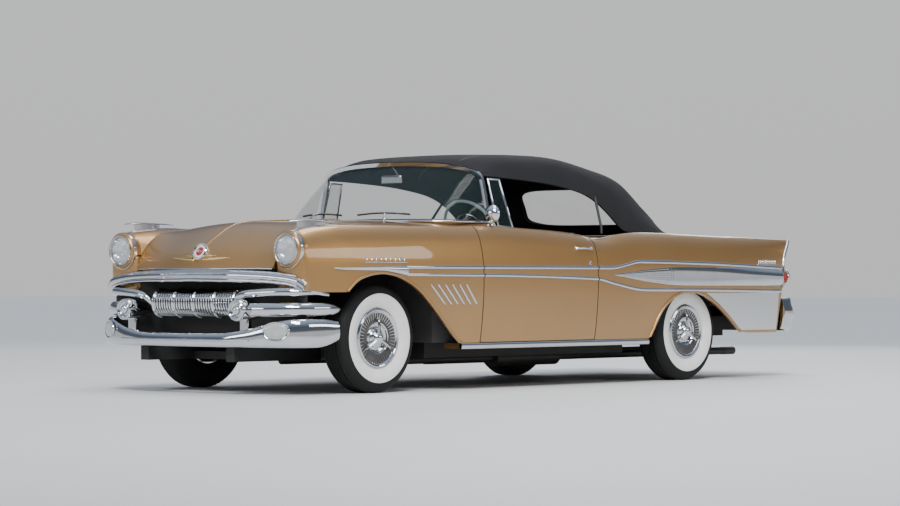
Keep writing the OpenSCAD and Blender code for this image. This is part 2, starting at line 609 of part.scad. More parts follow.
// Sills under the doors, with a lip beside the floor and pads under the panels
module sills() {
    front = along(-1112);
    back = along(828);
    inner = across(cabin_edge);
    low = upward(262);
    top = upward(294);
    color("silver") both_sides() union() {
        translate([inner, front, low]) cube([across(912) - inner, back - front, top - low]);
        translate([inner, along(door_front + gap_half), low])
            cube([4, back - along(door_front + gap_half), upward(floor_height) + floor_wall - low]);
        for (pad = [[-1110, door_front - gap_half, 301.2], [door_rear + gap_half, 826, 300]])
            translate([across(885), along(pad[0]), top])
                cube([across(20), along(pad[1]) - along(pad[0]), upward(pad[2]) - seat_clear - top]);
    }
}

// Perimeter frame, raised over the rear axle
rail_bottom = 200;
rail_tall = 99.7;
rail_wide = 70;
front_rail = 345;
rear_rail = 470;
module rail(x, y0, y1, z0, z1) translate([across(x), along(y0), z0]) cube([rail_wide, along(y1)
    - along(y0), z1 - z0]);
module cross_leg(x0, x1, y, z0, z1) {
    translate([across(x0), along(y), z0]) cube([across(x1) - across(x0) + rail_wide, rail_wide, z1 - z0]);
}
module frame_rails() {
    low = upward(rail_bottom);
    top = low + rail_tall;
    middle_rail = 600;
    high = upward(trunk_floor_height) - floor_wall - seat_clear;
    tail_low = upward(335);
    color("dimgray") union() {
        both_sides() {
            rail(front_rail, -2624, -1190, low, top);
            cross_leg(front_rail, middle_rail, -1190, low, top);
            rail(middle_rail, -1190, 780, low, top);
            cross_leg(rear_rail, middle_rail, 780, low, top);
            rail(rear_rail, 780, 980, low, top);
            rail(rear_rail, 910, 980, low, high);
            rail(rear_rail, 910, 1790, high - 84, high);
            rail(rear_rail, 1720, 1790, tail_low, high);
            rail(rear_rail, 1720, 2639.1, tail_low, tail_low + rail_tall);
        }
        for (y = [-300, 620]) translate([-across(middle_rail), along(y), low + 2])
            cube([2 * across(middle_rail), 60, 40]);
        translate([-across(front_rail), along(-2240), low]) cube([2 * across(front_rail), 60, 50]);
        translate([-across(rear_rail), along(2440), tail_low + 2]) cube([2 * across(rear_rail), 60, 50]);
    }
}

// Floors of the cabin and the trunk
floor_height = 300;
floor_wall = 8;
trunk_floor_height = 520;
tunnel_half = 130;
tunnel_top = 430;
wheel_house = rear_track / 2 - tyre_width / 2 - 34;
module floor_pan() {
    w = floor_wall;
    edge = across(cabin_edge) - seat_clear;
    trunk_edge = wheel_house - 6 - seat_clear;
    z = upward(floor_height);
    front = along(-1225);
    back = along(905);
    high = upward(trunk_floor_height);
    color([0.25, 0.25, 0.27]) difference() {
        union() {
            translate([-edge, front, z]) cube([2 * edge, back - front, w]);
            translate([-tunnel_half, front, z]) cube([2 * tunnel_half, back - front, upward(tunnel_top)
                - z]);
            translate([-trunk_edge, back - w, z]) cube([2 * trunk_edge, w, high - z]);
            translate([-trunk_edge, back - w, high - w]) cube([2 * trunk_edge, along(2405)
                - seat_clear - back + w, w]);
        }
        translate([-tunnel_half + w, front - 1, z - 1])
            cube([2 * (tunnel_half - w), back - front + 2, upward(tunnel_top) - z - w + 1]);
    }
}

// Firewall, cowl sides and door jambs
module firewall() {
    z = upward(floor_height);
    color([0.25, 0.25, 0.27]) {
        difference() {
            translate([-across(690), along(-1240), z]) cube([across(1380), 10, upward(1016.7) - z]);
            translate([-135, along(-1240) - 1, z - 1]) cube([270, 12, 140]);
        }
        both_sides() {
            translate([across(door_inner) - 2, along(-946), z]) cube([across(100), 8, upward(940) - z]);
            translate([across(690), along(-1240) + 0.1, z])
                cube([across(door_inner) - across(690), 8, upward(985) - z]);
            translate([across(door_inner) - 8, along(-1240), z]) cube([8, along(-946) - along(-1240),
                upward(985) - z]);
        }
    }
}

// Inner walls of the wheel wells
module inner_fenders() {
    plate = 6;
    wall = across(front_rail) + rail_wide - plate;
    foot = upward(floor_height);
    shelf = upward(905);
    house = upward(710);
    reach = across(side_x(1760, 713)) - panel_thick - 2 * seat_clear;
    color([0.2, 0.2, 0.22]) both_sides() {
        translate([wall, along(-2330), foot]) cube([plate, along(-1250) - along(-2330), shelf - foot]);
        translate([wall, along(-2150), shelf]) cube([across(664) - wall, along(-1250) - along(-2150),
            plate]);
        translate([wheel_house - plate, along(960), upward(trunk_floor_height) - floor_wall])
            cube([plate, along(1760) - along(960), house + plate - upward(trunk_floor_height) + floor_wall]);
        translate([wheel_house - plate, along(960), house]) cube([reach - wheel_house + plate,
            along(1760) - along(960), plate]);
    }
}

module engine_block() {
    foot = upward(rail_bottom) + rail_tall + seat_clear;
    color("slategray") union() {
        translate([-280, along(-2130), upward(330)]) cube([560, along(-1290) - along(-2130), 560]);
        translate([-across(345) - 50, along(-1740), foot]) cube([2 * across(345) + 100, 90, 70]);
    }
}
module radiator() {
    color("black") translate([-across(380), along(-2330), upward(300)]) cube([across(760), 60, 590]);
}
module drive_line() {
    color("slategray") union() {
        translate([-90, along(-1290) + seat_clear, upward(280)])
            cube([180, along(-560) - along(-1290), 120]);
        translate([0, along(-560), upward(340)]) rotate([-90, 0, 0])
            cylinder(h = rear_axle - 131 - along(-560), r = 38, $fn = 48);
    }
}
module fuel_tank() {
    color("dimgray") translate([-across(390), along(1960), upward(290)])
        cube([across(780), along(2400) - along(1960), upward(trunk_floor_height) - upward(290) - 8]);
}
module exhaust() {
    x = across(300);
    pipe = 27;
    z = upward(rail_bottom) + 2 - seat_clear - pipe;
    color("gray") both_sides() union() {
        translate([x, along(-1500), z]) rotate([-90, 0, 0]) cylinder(h = along(-100) - along(-1500),
            r = pipe, $fn = 32);
        translate([x, along(-100), z]) rotate([-90, 0, 0]) cylinder(h = along(560) - along(-100),
            r = 58, $fn = 48);
        translate([x, along(560), z]) rotate([-90, 0, 0]) cylinder(h = along(2560) - along(560),
            r = pipe, $fn = 32);
    }
}

// Double wishbones: each ends at a pad above or below the kingpin
pad_gap = 0.5;
kingpin_low = 118;
kingpin_high = 112;
module wishbone(z, tall, inner_x) {
    color("dimgray") {
        translate([kingpin_x, front_axle, z]) cylinder(h = tall, r = 26, $fn = 48);
        hull() {
            translate([kingpin_x, front_axle, z + 2]) cylinder(h = tall - 4, r = 18, $fn = 32);
            translate([inner_x, front_axle - 70, z + 2]) cube([10, 140, tall - 4]);
        }
    }
}
module front_suspension() {
    inner = across(front_rail) + rail_wide + seat_clear;
    color("dimgray") both_sides() union() {
        wishbone(axle_height - kingpin_low - pad_gap - 24, 24, inner);
        wishbone(axle_height + kingpin_high + pad_gap, 22, inner);
        translate([inner, front_axle - 70, axle_height - kingpin_low - pad_gap - 24])
            cube([11, 140, kingpin_low + kingpin_high + 47]);
    }
    color("dimgray") translate([-across(front_rail) + seat_clear, front_axle - 60, upward(rail_bottom)])
        cube([2 * (across(front_rail) - seat_clear), 120, 60]);
}
spindle_radius = 22;
module knuckle_shape() {
    union() {
        translate([kingpin_x, front_axle, axle_height - kingpin_low])
            cylinder(h = kingpin_low + kingpin_high, r = 20, $fn = 48);
        translate([kingpin_x, front_axle, axle_height]) rotate([0, 90, 0])
            cylinder(h = front_track / 2 + 20 - kingpin_x, r = spindle_radius, $fn = 48);
        translate([front_track / 2 - 22, front_axle, axle_height]) rotate([0, 90, 0])
            cylinder(h = 5, r = 118, $fn = 64);
        translate([kingpin_x - 12, front_axle + 16, axle_height - 60]) cube([24, 120, 16]);
        translate([kingpin_x - 12, front_axle - 10, axle_height - 60]) cube([24, 40, 16]);
    }
}
module left_knuckle() color("dimgray") knuckle_shape();
module right_knuckle() mirror([1, 0, 0]) left_knuckle();

axle_tube = 40;
module rear_axle() {
    half = rear_track / 2;
    ball = 130;
    start = sqrt(ball * ball - axle_tube * axle_tube);
    plate = [half - 22.5, half - 17.5];
    arm = [
        [axle_tube, start], [axle_tube, half - 60], [spindle_radius, half - 60], [spindle_radius, plate[0]],
        [118, plate[0]], [118, plate[1]], [spindle_radius, plate[1]], [spindle_radius, half + 20]
    ];
    turn = asin(axle_tube / ball);
    bulge = [for (a = steps(turn, 180 - turn, 14)) [ball * sin(a), ball * cos(a)]];
    color("dimgray") translate([0, rear_axle, axle_height]) rotate([0, 90, 0]) rotate_extrude($fn = 64)
        polygon(concat(
            [[0, half + 20]], [for (i = [len(arm) - 1:-1:1]) arm[i]], bulge,
            [for (i = [1:len(arm) - 1]) [arm[i][0], -arm[i][1]]], [[0, -half - 20]]));
}
module leaf_springs() {
    sag = 50;
    half = 420;
    leaf = function(t) [half * t, sag * t * t];
    base = axle_height - axle_tube - seat_clear;
    color("dimgray") both_sides() translate([across(rear_rail) + rail_wide + seat_clear, rear_axle, base])
        rotate([90, 0, 90]) linear_extrude(height = 55) polygon(concat(
            [for (t = steps(-1, 1, 16)) leaf(t)], [for (t = steps(1, -1, 16)) leaf(t) - [0, 24]]));
}

// Tyre and wheel, turned about the X axis, outer side towards +X
module tyre_shape() {
    w = tyre_width / 2;
    r = tyre_radius;
    b = rim_radius;
    rotate([0, 90, 0]) rotate_extrude($fn = 96) polygon([
        [b, -w * 0.72], [b + 18, -w * 0.84], [b + (r - b) * 0.45, -w], [r - 40, -w * 0.93], [r - 16,
            -w * 0.8],
        [r - 4, -w * 0.62], [r, -w * 0.4], [r, w * 0.4], [r - 4, w * 0.62], [r - 16, w * 0.8],
        [r - 40, w * 0.93], [b + (r - b) * 0.45, w], [b + 18, w * 0.84], [b, w * 0.72]
    ]);
}
module wheel_shape() {
    w = tyre_width / 2;
    b = rim_radius - seat_clear;
    bore = spindle_radius + pin_clear;
    rotate([0, 90, 0]) rotate_extrude($fn = 96) polygon([
        [b, -w * 0.78], [b, w * 0.72], [b + 7, w * 0.72 + 8], [b - 6, w * 0.72 + 14], [b - 24,
            w * 0.68], [b - 60, w * 0.55],
        [60, w * 0.6], [36, w * 0.85], [0, w * 0.88], [0, 24], [bore, 24], [bore, -8], [bore + 14, -8],
        [bore + 14, 14], [b - 50, 22], [b - 14, 34], [b - 14, -w * 0.78]
    ]);
}
module front_left_place() translate([front_track / 2, front_axle, axle_height]) children();
module rear_left_place() translate([rear_track / 2, rear_axle, axle_height]) children();
module front_left_tyre() color([0.08, 0.08, 0.08]) front_left_place() tyre_shape();
module front_right_tyre() mirror([1, 0, 0]) front_left_tyre();
module rear_left_tyre() color([0.08, 0.08, 0.08]) rear_left_place() tyre_shape();
module rear_right_tyre() mirror([1, 0, 0]) rear_left_tyre();
module front_left_wheel() color("silver") front_left_place() wheel_shape();
module front_right_wheel() mirror([1, 0, 0]) front_left_wheel();
module rear_left_wheel() color("silver") rear_left_place() wheel_shape();
module rear_right_wheel() mirror([1, 0, 0]) rear_left_wheel();

// Dashboard, drawn as its side view
module dashboard() {
    ends = across(door_inner) - 8 - seat_clear;
    color([0.1, 0.25, 0.25]) translate([-ends, 0, 0]) rotate([90, 0, 90]) linear_extrude(height = 2 * ends)
        polygon([
            [along(-1000), upward(1004)], [along(-905), upward(1010)], [along(-868), upward(996)],
            [along(-856), upward(960)], [along(-862), upward(880)], [along(-905), upward(852)],
                [along(-1000), upward(860)]
        ]);
}

// Steering wheel and column, about an axis that slopes down to the front
hub_place = [across(380), along(-400), upward(1030)];
module on_column() translate(hub_place) rotate([column_slope - 90, 0, 0]) children();
module steering_wheel() {
    rim = steering_wheel_radius;
    color([0.75, 0.88, 0.86]) on_column() {
        rotate_extrude($fn = 96) translate([rim, 0]) circle(r = 11, $fn = 24);
        difference() {
            translate([0, 0, -36]) cylinder(h = 40, r = 42, $fn = 48);
            translate([0, 0, -37]) cylinder(h = 12, r = 20, $fn = 48);
        }
        for (a = [15, 165]) rotate([0, 0, a]) translate([30, -9, -10]) cube([rim - 34, 18, 8]);
    }
}
module steering_column() {
    reach = (hub_place.y - along(-1217.6)) / cos(column_slope);
    color("dimgray") on_column() union() {
        translate([0, 0, -reach]) cylinder(h = reach - 36.5, r = 26, $fn = 48);
        translate([0, 0, -reach]) cylinder(h = reach - 25.5, r = 15, $fn = 48);
    }
}

// Bench seats: cushion and back as side views drawn across the cabin
module bench(width, outline) {
    translate([-width / 2, 0, 0]) rotate([90, 0, 90]) linear_extrude(height = width) polygon(outline);
}
module front_seat() {
    color([0.1, 0.1, 0.11]) {
        bench(across(1340), [for (p = [[-470, tunnel_top + seat_clear], [-485, 505], [-455, 548],
            [-100, 532], [20, 508], [40, tunnel_top + seat_clear]])
            [along(p[0]), upward(p[1])]]);
        bench(across(1340), [for (p = [[50, tunnel_top + seat_clear], [40, 520], [95, 880], [125, 925],
            [165, 918], [178, 870], [142, tunnel_top + seat_clear]])
            [along(p[0]), upward(p[1])]]);
        for (x = [-460, 400]) translate([across(x), along(-420), upward(floor_height) + floor_wall])
            cube([60, along(0) - along(-420), upward(tunnel_top) + seat_clear - upward(floor_height)
                - floor_wall]);
    }
}
module rear_seat() {
    color([0.1, 0.1, 0.11]) {
        bench(across(1120), [for (p = [[440, tunnel_top + seat_clear], [425, 480], [450, 515], [760,
            485], [790, tunnel_top + seat_clear]])
            [along(p[0]), upward(p[1])]]);
        bench(across(1120), [for (p = [[806, tunnel_top + seat_clear], [798, 500], [860, 820], [880,
            850], [895, 850], [895, 530], [890, tunnel_top + seat_clear]])
            [along(p[0]), upward(p[1])]]);
    }
}

module interior_mirror() {
    color("silver") union() {
        translate(place([-90, -704, 1336])) cube([180, 14, 52]);
        translate([-6, 0, 0]) rotate([90, 0, 90]) linear_extrude(height = 12) polygon([
            for (p = [[-704, 1380], [-692, 1387], [-765.9, 1459], [-771.9, 1449]]) [along(p[0]),
                upward(p[1])]]);
    }
}

// Vent window on the door: post, frame and pane
vent_low = [[796, -612, 1045.25], [796, -470, 1037.45]];
vent_high = [[706, -612, 1352], [706, -500, 1352]];
module left_vent_window() {
    corner = [for (p = [vent_low[0], vent_low[1], vent_high[1], vent_high[0]]) place(p)];
    frame_bar = [[-7, -7], [7, -7], [7, 7], [-7, 7]];
    color("silver") resize([0, 0, 0]) union() {
        for (i = [0:3]) let (a = corner[i], b = corner[(i + 1) % 4], w = unit(b - a) * 7)
            sweep([a - w, b + w], frame_bar, [1, 0, 0.24]);
        loft([for (d = [-2, 2]) [for (p = corner) p + [d * 1, 0, 0]]]);
    }
}
module right_vent_window() mirror([1, 0, 0]) left_vent_window();

module door_mirror() {
    color("silver") translate(place([836, -740, 1047.7])) union() {
        cylinder(h = 44, r = 9, $fn = 32);
        translate([10, -8, 76]) rotate([-90, 0, 0]) cylinder(h = 26, r = 56, $fn = 48);
    }
}

frame_rails();
floor_pan();
firewall();
inner_fenders();
engine_block();
radiator();
left_front_fender();
right_front_fender();
cowl_panel();
sills();
left_rear_quarter();
right_rear_quarter();
tulip_panel();
tail_panel();
grille_bar();
grille();
front_bumper();
rear_bumper();
headlamps();
tail_lamps();
side_pods();
windshield_frame();
windshield_glass();
dashboard();
steering_column();
front_seat();
rear_seat();
soft_top();
top_bows();
fuel_tank();
exhaust();
front_suspension();
rear_axle();
leaf_springs();
drive_line();
interior_mirror();
hood();
trunk_lid();
left_door();
right_door();
left_vent_window();
right_vent_window();
door_mirror();
left_knuckle();
right_knuckle();
front_left_tyre();
front_right_tyre();
rear_left_tyre();
rear_right_tyre();
front_left_wheel();
front_right_wheel();
rear_left_wheel();
rear_right_wheel();
steering_wheel();
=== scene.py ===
import math

import bmesh
import bpy
import numpy as np
from mathutils import Matrix, Vector
from mathutils.bvhtree import BVHTree


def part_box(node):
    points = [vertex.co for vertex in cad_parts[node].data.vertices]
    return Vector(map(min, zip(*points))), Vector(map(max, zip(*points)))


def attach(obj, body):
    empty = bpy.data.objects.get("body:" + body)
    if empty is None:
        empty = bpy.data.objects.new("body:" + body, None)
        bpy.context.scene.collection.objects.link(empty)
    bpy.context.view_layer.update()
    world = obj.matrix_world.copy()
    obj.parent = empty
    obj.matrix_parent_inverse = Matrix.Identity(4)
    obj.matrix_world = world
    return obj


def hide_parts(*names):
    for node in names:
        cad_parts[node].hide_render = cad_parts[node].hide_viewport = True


bl_info = {
    "name": "Fifties convertible",
    "version": (1, 0, 0),
    "blender": (4, 5, 0),
    "location": "3D View > Sidebar > Convertible",
    "description": "Builds the finished look of a full-size convertible on its packed CAD frame",
    "category": "Object",
}

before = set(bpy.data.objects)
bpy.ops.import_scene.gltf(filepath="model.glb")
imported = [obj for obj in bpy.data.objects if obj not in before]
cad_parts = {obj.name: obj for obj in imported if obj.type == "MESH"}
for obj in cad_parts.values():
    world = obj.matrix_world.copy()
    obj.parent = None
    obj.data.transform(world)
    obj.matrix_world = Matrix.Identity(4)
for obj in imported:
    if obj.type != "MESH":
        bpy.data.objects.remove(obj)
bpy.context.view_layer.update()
MM = 0.001
LEFT, RIGHT = 1, -1
SIDES = ((LEFT, "left"), (RIGHT, "right"))
MIRROR = Matrix.Scale(-1, 4, (1, 0, 0))


# ---------------------------------------------------------------- materials

class Value:
    """A shader socket that takes part in sums."""

    def __init__(self, owner, socket):
        self.owner = owner
        self.socket = socket

    def _with(self, operation, *terms):
        return self.owner.node("ShaderNodeMath", {"operation": operation}, dict(enumerate(terms)))

    def __add__(self, other):
        return self._with("ADD", self, other)

    __radd__ = __add__

    def __sub__(self, other):
        return self._with("SUBTRACT", self, other)

    def __rsub__(self, other):
        return self._with("SUBTRACT", other, self)

    def __mul__(self, other):
        return self._with("MULTIPLY", self, other)

    __rmul__ = __mul__

    def __gt__(self, other):
        return self._with("GREATER_THAN", self, other)

    def sine(self):
        return self._with("SINE", self)


class Nodes:
    """The node tree of a material or of the sky, cleared and built node by node."""

    def __init__(self, owner):
        owner.use_nodes = True
        self.tree = owner.node_tree
        self.tree.nodes.clear()

    def node(self, kind, settings=None, inputs=None, out=0):
        made = self.tree.nodes.new(kind)
        for key, value in (settings or {}).items():
            if key == "stops":
                ramp = made.color_ramp
                while len(ramp.elements) < len(value):
                    ramp.elements.new(0.5)
                for element, (place, colour) in zip(ramp.elements, value):
                    element.position = place
                    element.color = (*colour, 1) if len(colour) == 3 else colour
            else:
                setattr(made, key, value)
        for key, value in (inputs or {}).items():
            self.feed(made.inputs[key], value)
        return None if out is None else Value(self, made.outputs[out])

    def feed(self, socket, value):
        if isinstance(value, Value):
            self.tree.links.new(value.socket, socket)
        elif socket.type == "RGBA" and len(value) == 3:
            socket.default_value = (*value, 1)
        else:
            socket.default_value = value


class Finish(Nodes):
    """A material with one principled shader."""

    def __init__(self, name):
        self.material = bpy.data.materials.new(name)
        super().__init__(self.material)
        output = self.tree.nodes.new("ShaderNodeOutputMaterial")
        self.shader = self.tree.nodes.new("ShaderNodeBsdfPrincipled")
        self.tree.links.new(self.shader.outputs[0], output.inputs[0])

    def set(self, **values):
        for key, value in values.items():
            self.feed(self.shader.inputs[key.replace("_", " ")], value)
        return self

    def place(self, scale=(1, 1, 1)):
        where = self.node("ShaderNodeTexCoord", out="Object")
        return self.node("ShaderNodeMapping", None, {"Vector": where, "Scale": scale})

    def axis(self, name):
        where = self.node("ShaderNodeTexCoord", out="Object")
        return self.node("ShaderNodeSeparateXYZ", None, {0: where}, out=name)

    def noise(self, scale, detail=3.0, rough=0.55, stretch=(1, 1, 1)):
        return self.node(
            "ShaderNodeTexNoise", None,
            {"Vector": self.place(stretch), "Scale": scale, "Detail": detail, "Roughness": rough},
            out="Fac")

    def cells(self, scale, out="Distance"):
        return self.node("ShaderNodeTexVoronoi", None, {"Vector": self.place(), "Scale": scale}, out=out)

    def between(self, share, low, high):
        return self.node("ShaderNodeMix", {"data_type": "RGBA"}, {0: share, 6: low, 7: high}, out=2)

    def bump(self, height, distance=0.001, strength=1.0):
        made = self.node(
            "ShaderNodeBump", None, {"Height": height, "Distance": distance, "Strength": strength})
        self.feed(self.shader.inputs["Normal"], made)
        return made


FINISHES = {}


def finish(name):
    if name not in FINISHES:
        FINISHES[name] = RECIPES[name](Finish(name)).material
    return FINISHES[name]


def paint_recipe(deep, bright, metal=0.80, rough=0.33):
    def recipe(f):
        flake = f.cells(2600, out="Color")
        grain = f.node("ShaderNodeSeparateColor", None, {0: flake}, out=0)
        cloud = f.noise(1.3, 2.0)
        f.set(
            Base_Color=f.between(grain * 0.45 + cloud * 0.4, deep, bright), Metallic=metal,
            Roughness=rough + grain * 0.08 + (f.noise(7.0, 4.0) - 0.5) * 0.05, Coat_Weight=1.0,
            Coat_Roughness=0.025, Coat_IOR=1.45)
        f.bump(f.noise(420.0, 2.0), 0.00012, 0.25)
        return f
    return recipe


def chrome_recipe(f):
    haze = f.noise(9.0, 5.0, 0.6)
    fine = f.noise(160.0, 2.0)
    f.set(Base_Color=f.between(haze, (0.54, 0.55, 0.57), (0.72, 0.73, 0.75)), Metallic=1.0,
          Roughness=0.03 + haze * 0.05 + fine * 0.02)
    f.bump(f.noise(14.0, 2.0), 0.0003, 0.12)
    return f


def brushed_recipe(f):
    lines = f.noise(90.0, 4.0, 0.7, (1, 0.03, 14))
    f.set(Base_Color=f.between(lines, (0.60, 0.61, 0.62), (0.80, 0.80, 0.80)), Metallic=1.0,
          Roughness=0.24 + lines * 0.16)
    f.bump(lines, 0.0002, 0.4)
    return f


def gold_trim_recipe(f):
    haze = f.noise(12.0, 4.0)
    f.set(Base_Color=f.between(haze, (0.70, 0.48, 0.20), (0.86, 0.64, 0.30)), Metallic=1.0,
          Roughness=0.12 + haze * 0.12)
    f.bump(f.noise(60.0, 2.0), 0.0002, 0.2)
    return f


def top_cloth_recipe(f):
    scale = 1500.0
    weave = (f.axis("X") * scale).sine() * (f.axis("Y") * scale).sine()
    fade = f.noise(2.6, 5.0, 0.65)
    dust = f.noise(38.0, 4.0, 0.7)
    f.set(Base_Color=f.between(fade * 0.7 + dust * 0.3, (0.007, 0.007, 0.008), (0.024, 0.024, 0.026)),
          Roughness=0.85 + (dust - 0.5) * 0.18, Specular_IOR_Level=0.25)
    f.bump(weave * 0.5 + f.noise(900.0, 2.0) * 0.5 + f.noise(9.0, 3.0) * 2.2, 0.0007, 0.55)
    return f


def piping_recipe(f):
    grain = f.noise(500.0, 3.0)
    f.set(Base_Color=f.between(grain, (0.010, 0.010, 0.011), (0.030, 0.030, 0.032)),
          Roughness=0.5 + grain * 0.2)
    f.bump(grain, 0.0003, 0.5)
    return f


def vinyl_recipe(dark, light, rough=0.42):
    def recipe(f):
        grain = f.cells(420.0)
        wear = f.noise(5.0, 4.0)
        f.set(Base_Color=f.between(wear * 0.6 + grain * 0.3, dark, light),
              Roughness=rough + (wear - 0.5) * 0.2, Specular_IOR_Level=0.45)
        f.bump(grain * 0.6 + f.noise(70.0, 3.0) * 0.4, 0.0006, 0.5)
        return f
    return recipe


def carpet_recipe(f):
    loops = f.cells(520.0)
    patch = f.noise(14.0, 4.0)
    f.set(Base_Color=f.between(loops * 0.5 + patch * 0.5, (0.010, 0.010, 0.011), (0.045, 0.043, 0.040)),
          Roughness=0.95, Sheen_Weight=0.3)
    f.bump(loops, 0.003, 0.8)
    return f


def rubber_recipe(f):
    grain = f.noise(300.0, 4.0, 0.7)
    dust = f.noise(8.0, 4.0)
    f.set(Base_Color=f.between(dust * 0.6 + grain * 0.2, (0.004, 0.004, 0.004), (0.016, 0.0155, 0.015)),
          Roughness=0.72 + (dust - 0.5) * 0.25, Specular_IOR_Level=0.3)
    f.bump(grain, 0.0005, 0.5)
    return f


def whitewall_recipe(f):
    grain = f.noise(260.0, 4.0)
    scuff = f.noise(11.0, 5.0, 0.7)
    f.set(Base_Color=f.between(scuff, (0.74, 0.73, 0.69), (0.90, 0.89, 0.86)),
          Roughness=0.5 + grain * 0.2)
    f.bump(grain, 0.0003, 0.4)
    return f


def glass_recipe(tint, clear=0.13):
    def recipe(f):
        film = f.noise(4.0, 4.0)
        f.set(Base_Color=f.between(film, tint, tuple(min(1, c * 1.2) for c in tint)),
              Roughness=0.02 + film * 0.03, Alpha=clear + film * 0.06, IOR=1.5, Coat_Weight=1.0,
              Coat_Roughness=0.02)
        f.bump(f.noise(3.0, 1.0), 0.0004, 0.1)
        f.material.surface_render_method = "BLENDED"
        return f
    return recipe


def lens_recipe(tint, clear, glow=0.0):
    def recipe(f):
        flutes = (f.axis("X") * 420.0).sine()
        f.set(Base_Color=f.between(f.noise(30.0), tint, tuple(min(1, c * 1.25) for c in tint)),
              Roughness=0.08 + f.noise(20.0) * 0.05, Alpha=clear, Coat_Weight=1.0, Coat_Roughness=0.03,
              Emission_Color=tint, Emission_Strength=glow)
        f.bump(flutes * 0.5 + (f.axis("Z") * 260.0).sine() * 0.3, 0.0012, 0.5)
        return f
    return recipe


def iron_recipe(dark, light, rough=0.6, metal=0.4):
    def recipe(f):
        grain = f.noise(60.0, 6.0, 0.7)
        dirt = f.noise(4.5, 5.0, 0.65)
        f.set(Base_Color=f.between(grain * 0.5 + dirt * 0.5, dark, light), Metallic=metal,
              Roughness=rough + (dirt - 0.5) * 0.3)
        f.bump(grain, 0.0015, 0.5)
        return f
    return recipe


def enamel_recipe(dark, light, rough=0.3, coat=0.5):
    def recipe(f):
        mottle = f.noise(6.0, 4.0)
        f.set(Base_Color=f.between(mottle, dark, light), Roughness=rough + (mottle - 0.5) * 0.12,
              Coat_Weight=coat, Coat_Roughness=0.08)
        f.bump(f.noise(300.0, 3.0), 0.0002, 0.35)
        return f
    return recipe


def gauge_recipe(f):
    ticks = (f.axis("X") * 700.0).sine()
    f.set(Base_Color=f.between(ticks > 0.82, (0.02, 0.03, 0.03), (0.65, 0.68, 0.62)), Roughness=0.4,
          Coat_Weight=1.0, Coat_Roughness=0.03)
    f.bump(f.noise(200.0), 0.0001, 0.2)
    return f


def floor_recipe(f):
    cloud = f.noise(0.35, 4.0)
    grain = f.noise(40.0, 5.0, 0.7)
    f.set(Base_Color=f.between(cloud * 0.6 + grain * 0.25, (0.60, 0.60, 0.59), (0.72, 0.72, 0.71)),
          Roughness=0.62 + (grain - 0.5) * 0.2)
    f.bump(grain, 0.001, 0.3)
    return f


RECIPES = {
    "gold_paint": paint_recipe((0.30, 0.155, 0.045), (0.56, 0.32, 0.115)),
    "chrome": chrome_recipe,
    "brushed_silver": brushed_recipe,
    "gold_chrome": gold_trim_recipe,
    "top_cloth": top_cloth_recipe,
    "piping": piping_recipe,
    "seat_vinyl": vinyl_recipe((0.014, 0.014, 0.016), (0.045, 0.045, 0.050)),
    "seat_insert": vinyl_recipe((0.30, 0.22, 0.13), (0.44, 0.34, 0.21), 0.5),
    "door_trim": vinyl_recipe((0.018, 0.018, 0.020), (0.05, 0.05, 0.055), 0.5),
    "carpet": carpet_recipe,
    "rubber": rubber_recipe,
    "whitewall": whitewall_recipe,
    "window_glass": glass_recipe((0.035, 0.06, 0.06), 0.09),
    "back_window": glass_recipe((0.30, 0.34, 0.36), 0.10),
    "lamp_glass": lens_recipe((0.62, 0.66, 0.68), 0.30),
    "red_lens": lens_recipe((0.42, 0.012, 0.012), 0.95, 0.12),
    "white_lens": lens_recipe((0.38, 0.39, 0.38), 0.95),
    "reflector": chrome_recipe,
    # Black for chassis parts; the grille barrel also takes it as painted shade in the grooves between
    # its ribs.
    "chassis_black": iron_recipe((0.004, 0.004, 0.004), (0.016, 0.015, 0.014), 0.75, 0.0),
    # Dark iron; the wheel covers also take it as painted shade in their recess under the fins.
    "cast_iron": iron_recipe((0.05, 0.05, 0.05), (0.16, 0.15, 0.14), 0.6, 0.7),
    "engine_blue": iron_recipe((0.05, 0.09, 0.10), (0.12, 0.18, 0.19), 0.45, 0.2),
    "exhaust_steel": iron_recipe((0.03, 0.028, 0.026), (0.09, 0.082, 0.074), 0.5, 0.7),
    "dash_teal": enamel_recipe((0.012, 0.045, 0.05), (0.02, 0.075, 0.08)),
    "wheel_ivory": enamel_recipe((0.48, 0.66, 0.64), (0.62, 0.79, 0.76)),
    "crest_red": enamel_recipe((0.36, 0.01, 0.01), (0.5, 0.02, 0.02), 0.15, 1.0),
    "crest_blue": enamel_recipe((0.01, 0.03, 0.16), (0.02, 0.06, 0.25), 0.15, 1.0),
    "crest_white": enamel_recipe((0.72, 0.72, 0.70), (0.85, 0.85, 0.83), 0.15, 1.0),
    "plate_blank": enamel_recipe((0.50, 0.49, 0.45), (0.62, 0.61, 0.57), 0.35, 0.3),
    "gauge_face": gauge_recipe,
    "studio_floor": floor_recipe,
}
SLOTS = {"gold_paint": "body_paint", "chrome": "chrome", "brushed_silver": "chrome",
         "gold_chrome": "chrome", "top_cloth": "top_cloth", "piping": "top_cloth",
         "seat_vinyl": "seat_vinyl", "seat_insert": "seat_vinyl", "rubber": "tyre",
         "window_glass": "glass", "back_window": "glass", "lamp_glass": "glass", "red_lens": "lamp_red",
         "chassis_black": "chassis_black", "cast_iron": "cast_iron", "exhaust_steel": "exhaust_steel",
         "dash_teal": "dash_paint", "wheel_ivory": "wheel_plastic",}


# ---------------------------------------------------------------- making and shaping

def deselect():
    if bpy.context.mode != "OBJECT":
        bpy.ops.object.mode_set(mode="OBJECT")
    bpy.ops.object.select_all(action="DESELECT")


def pick(obj):
    deselect()
    obj.select_set(True)
    bpy.context.view_layer.objects.active = obj
    return obj


def apply_all(obj):
    pick(obj)
    for modifier in list(obj.modifiers):
        bpy.ops.object.modifier_apply(modifier=modifier.name)
    return obj


def settle(obj):
    pick(obj)
    bpy.ops.object.transform_apply(location=True, rotation=True, scale=True)
    return obj


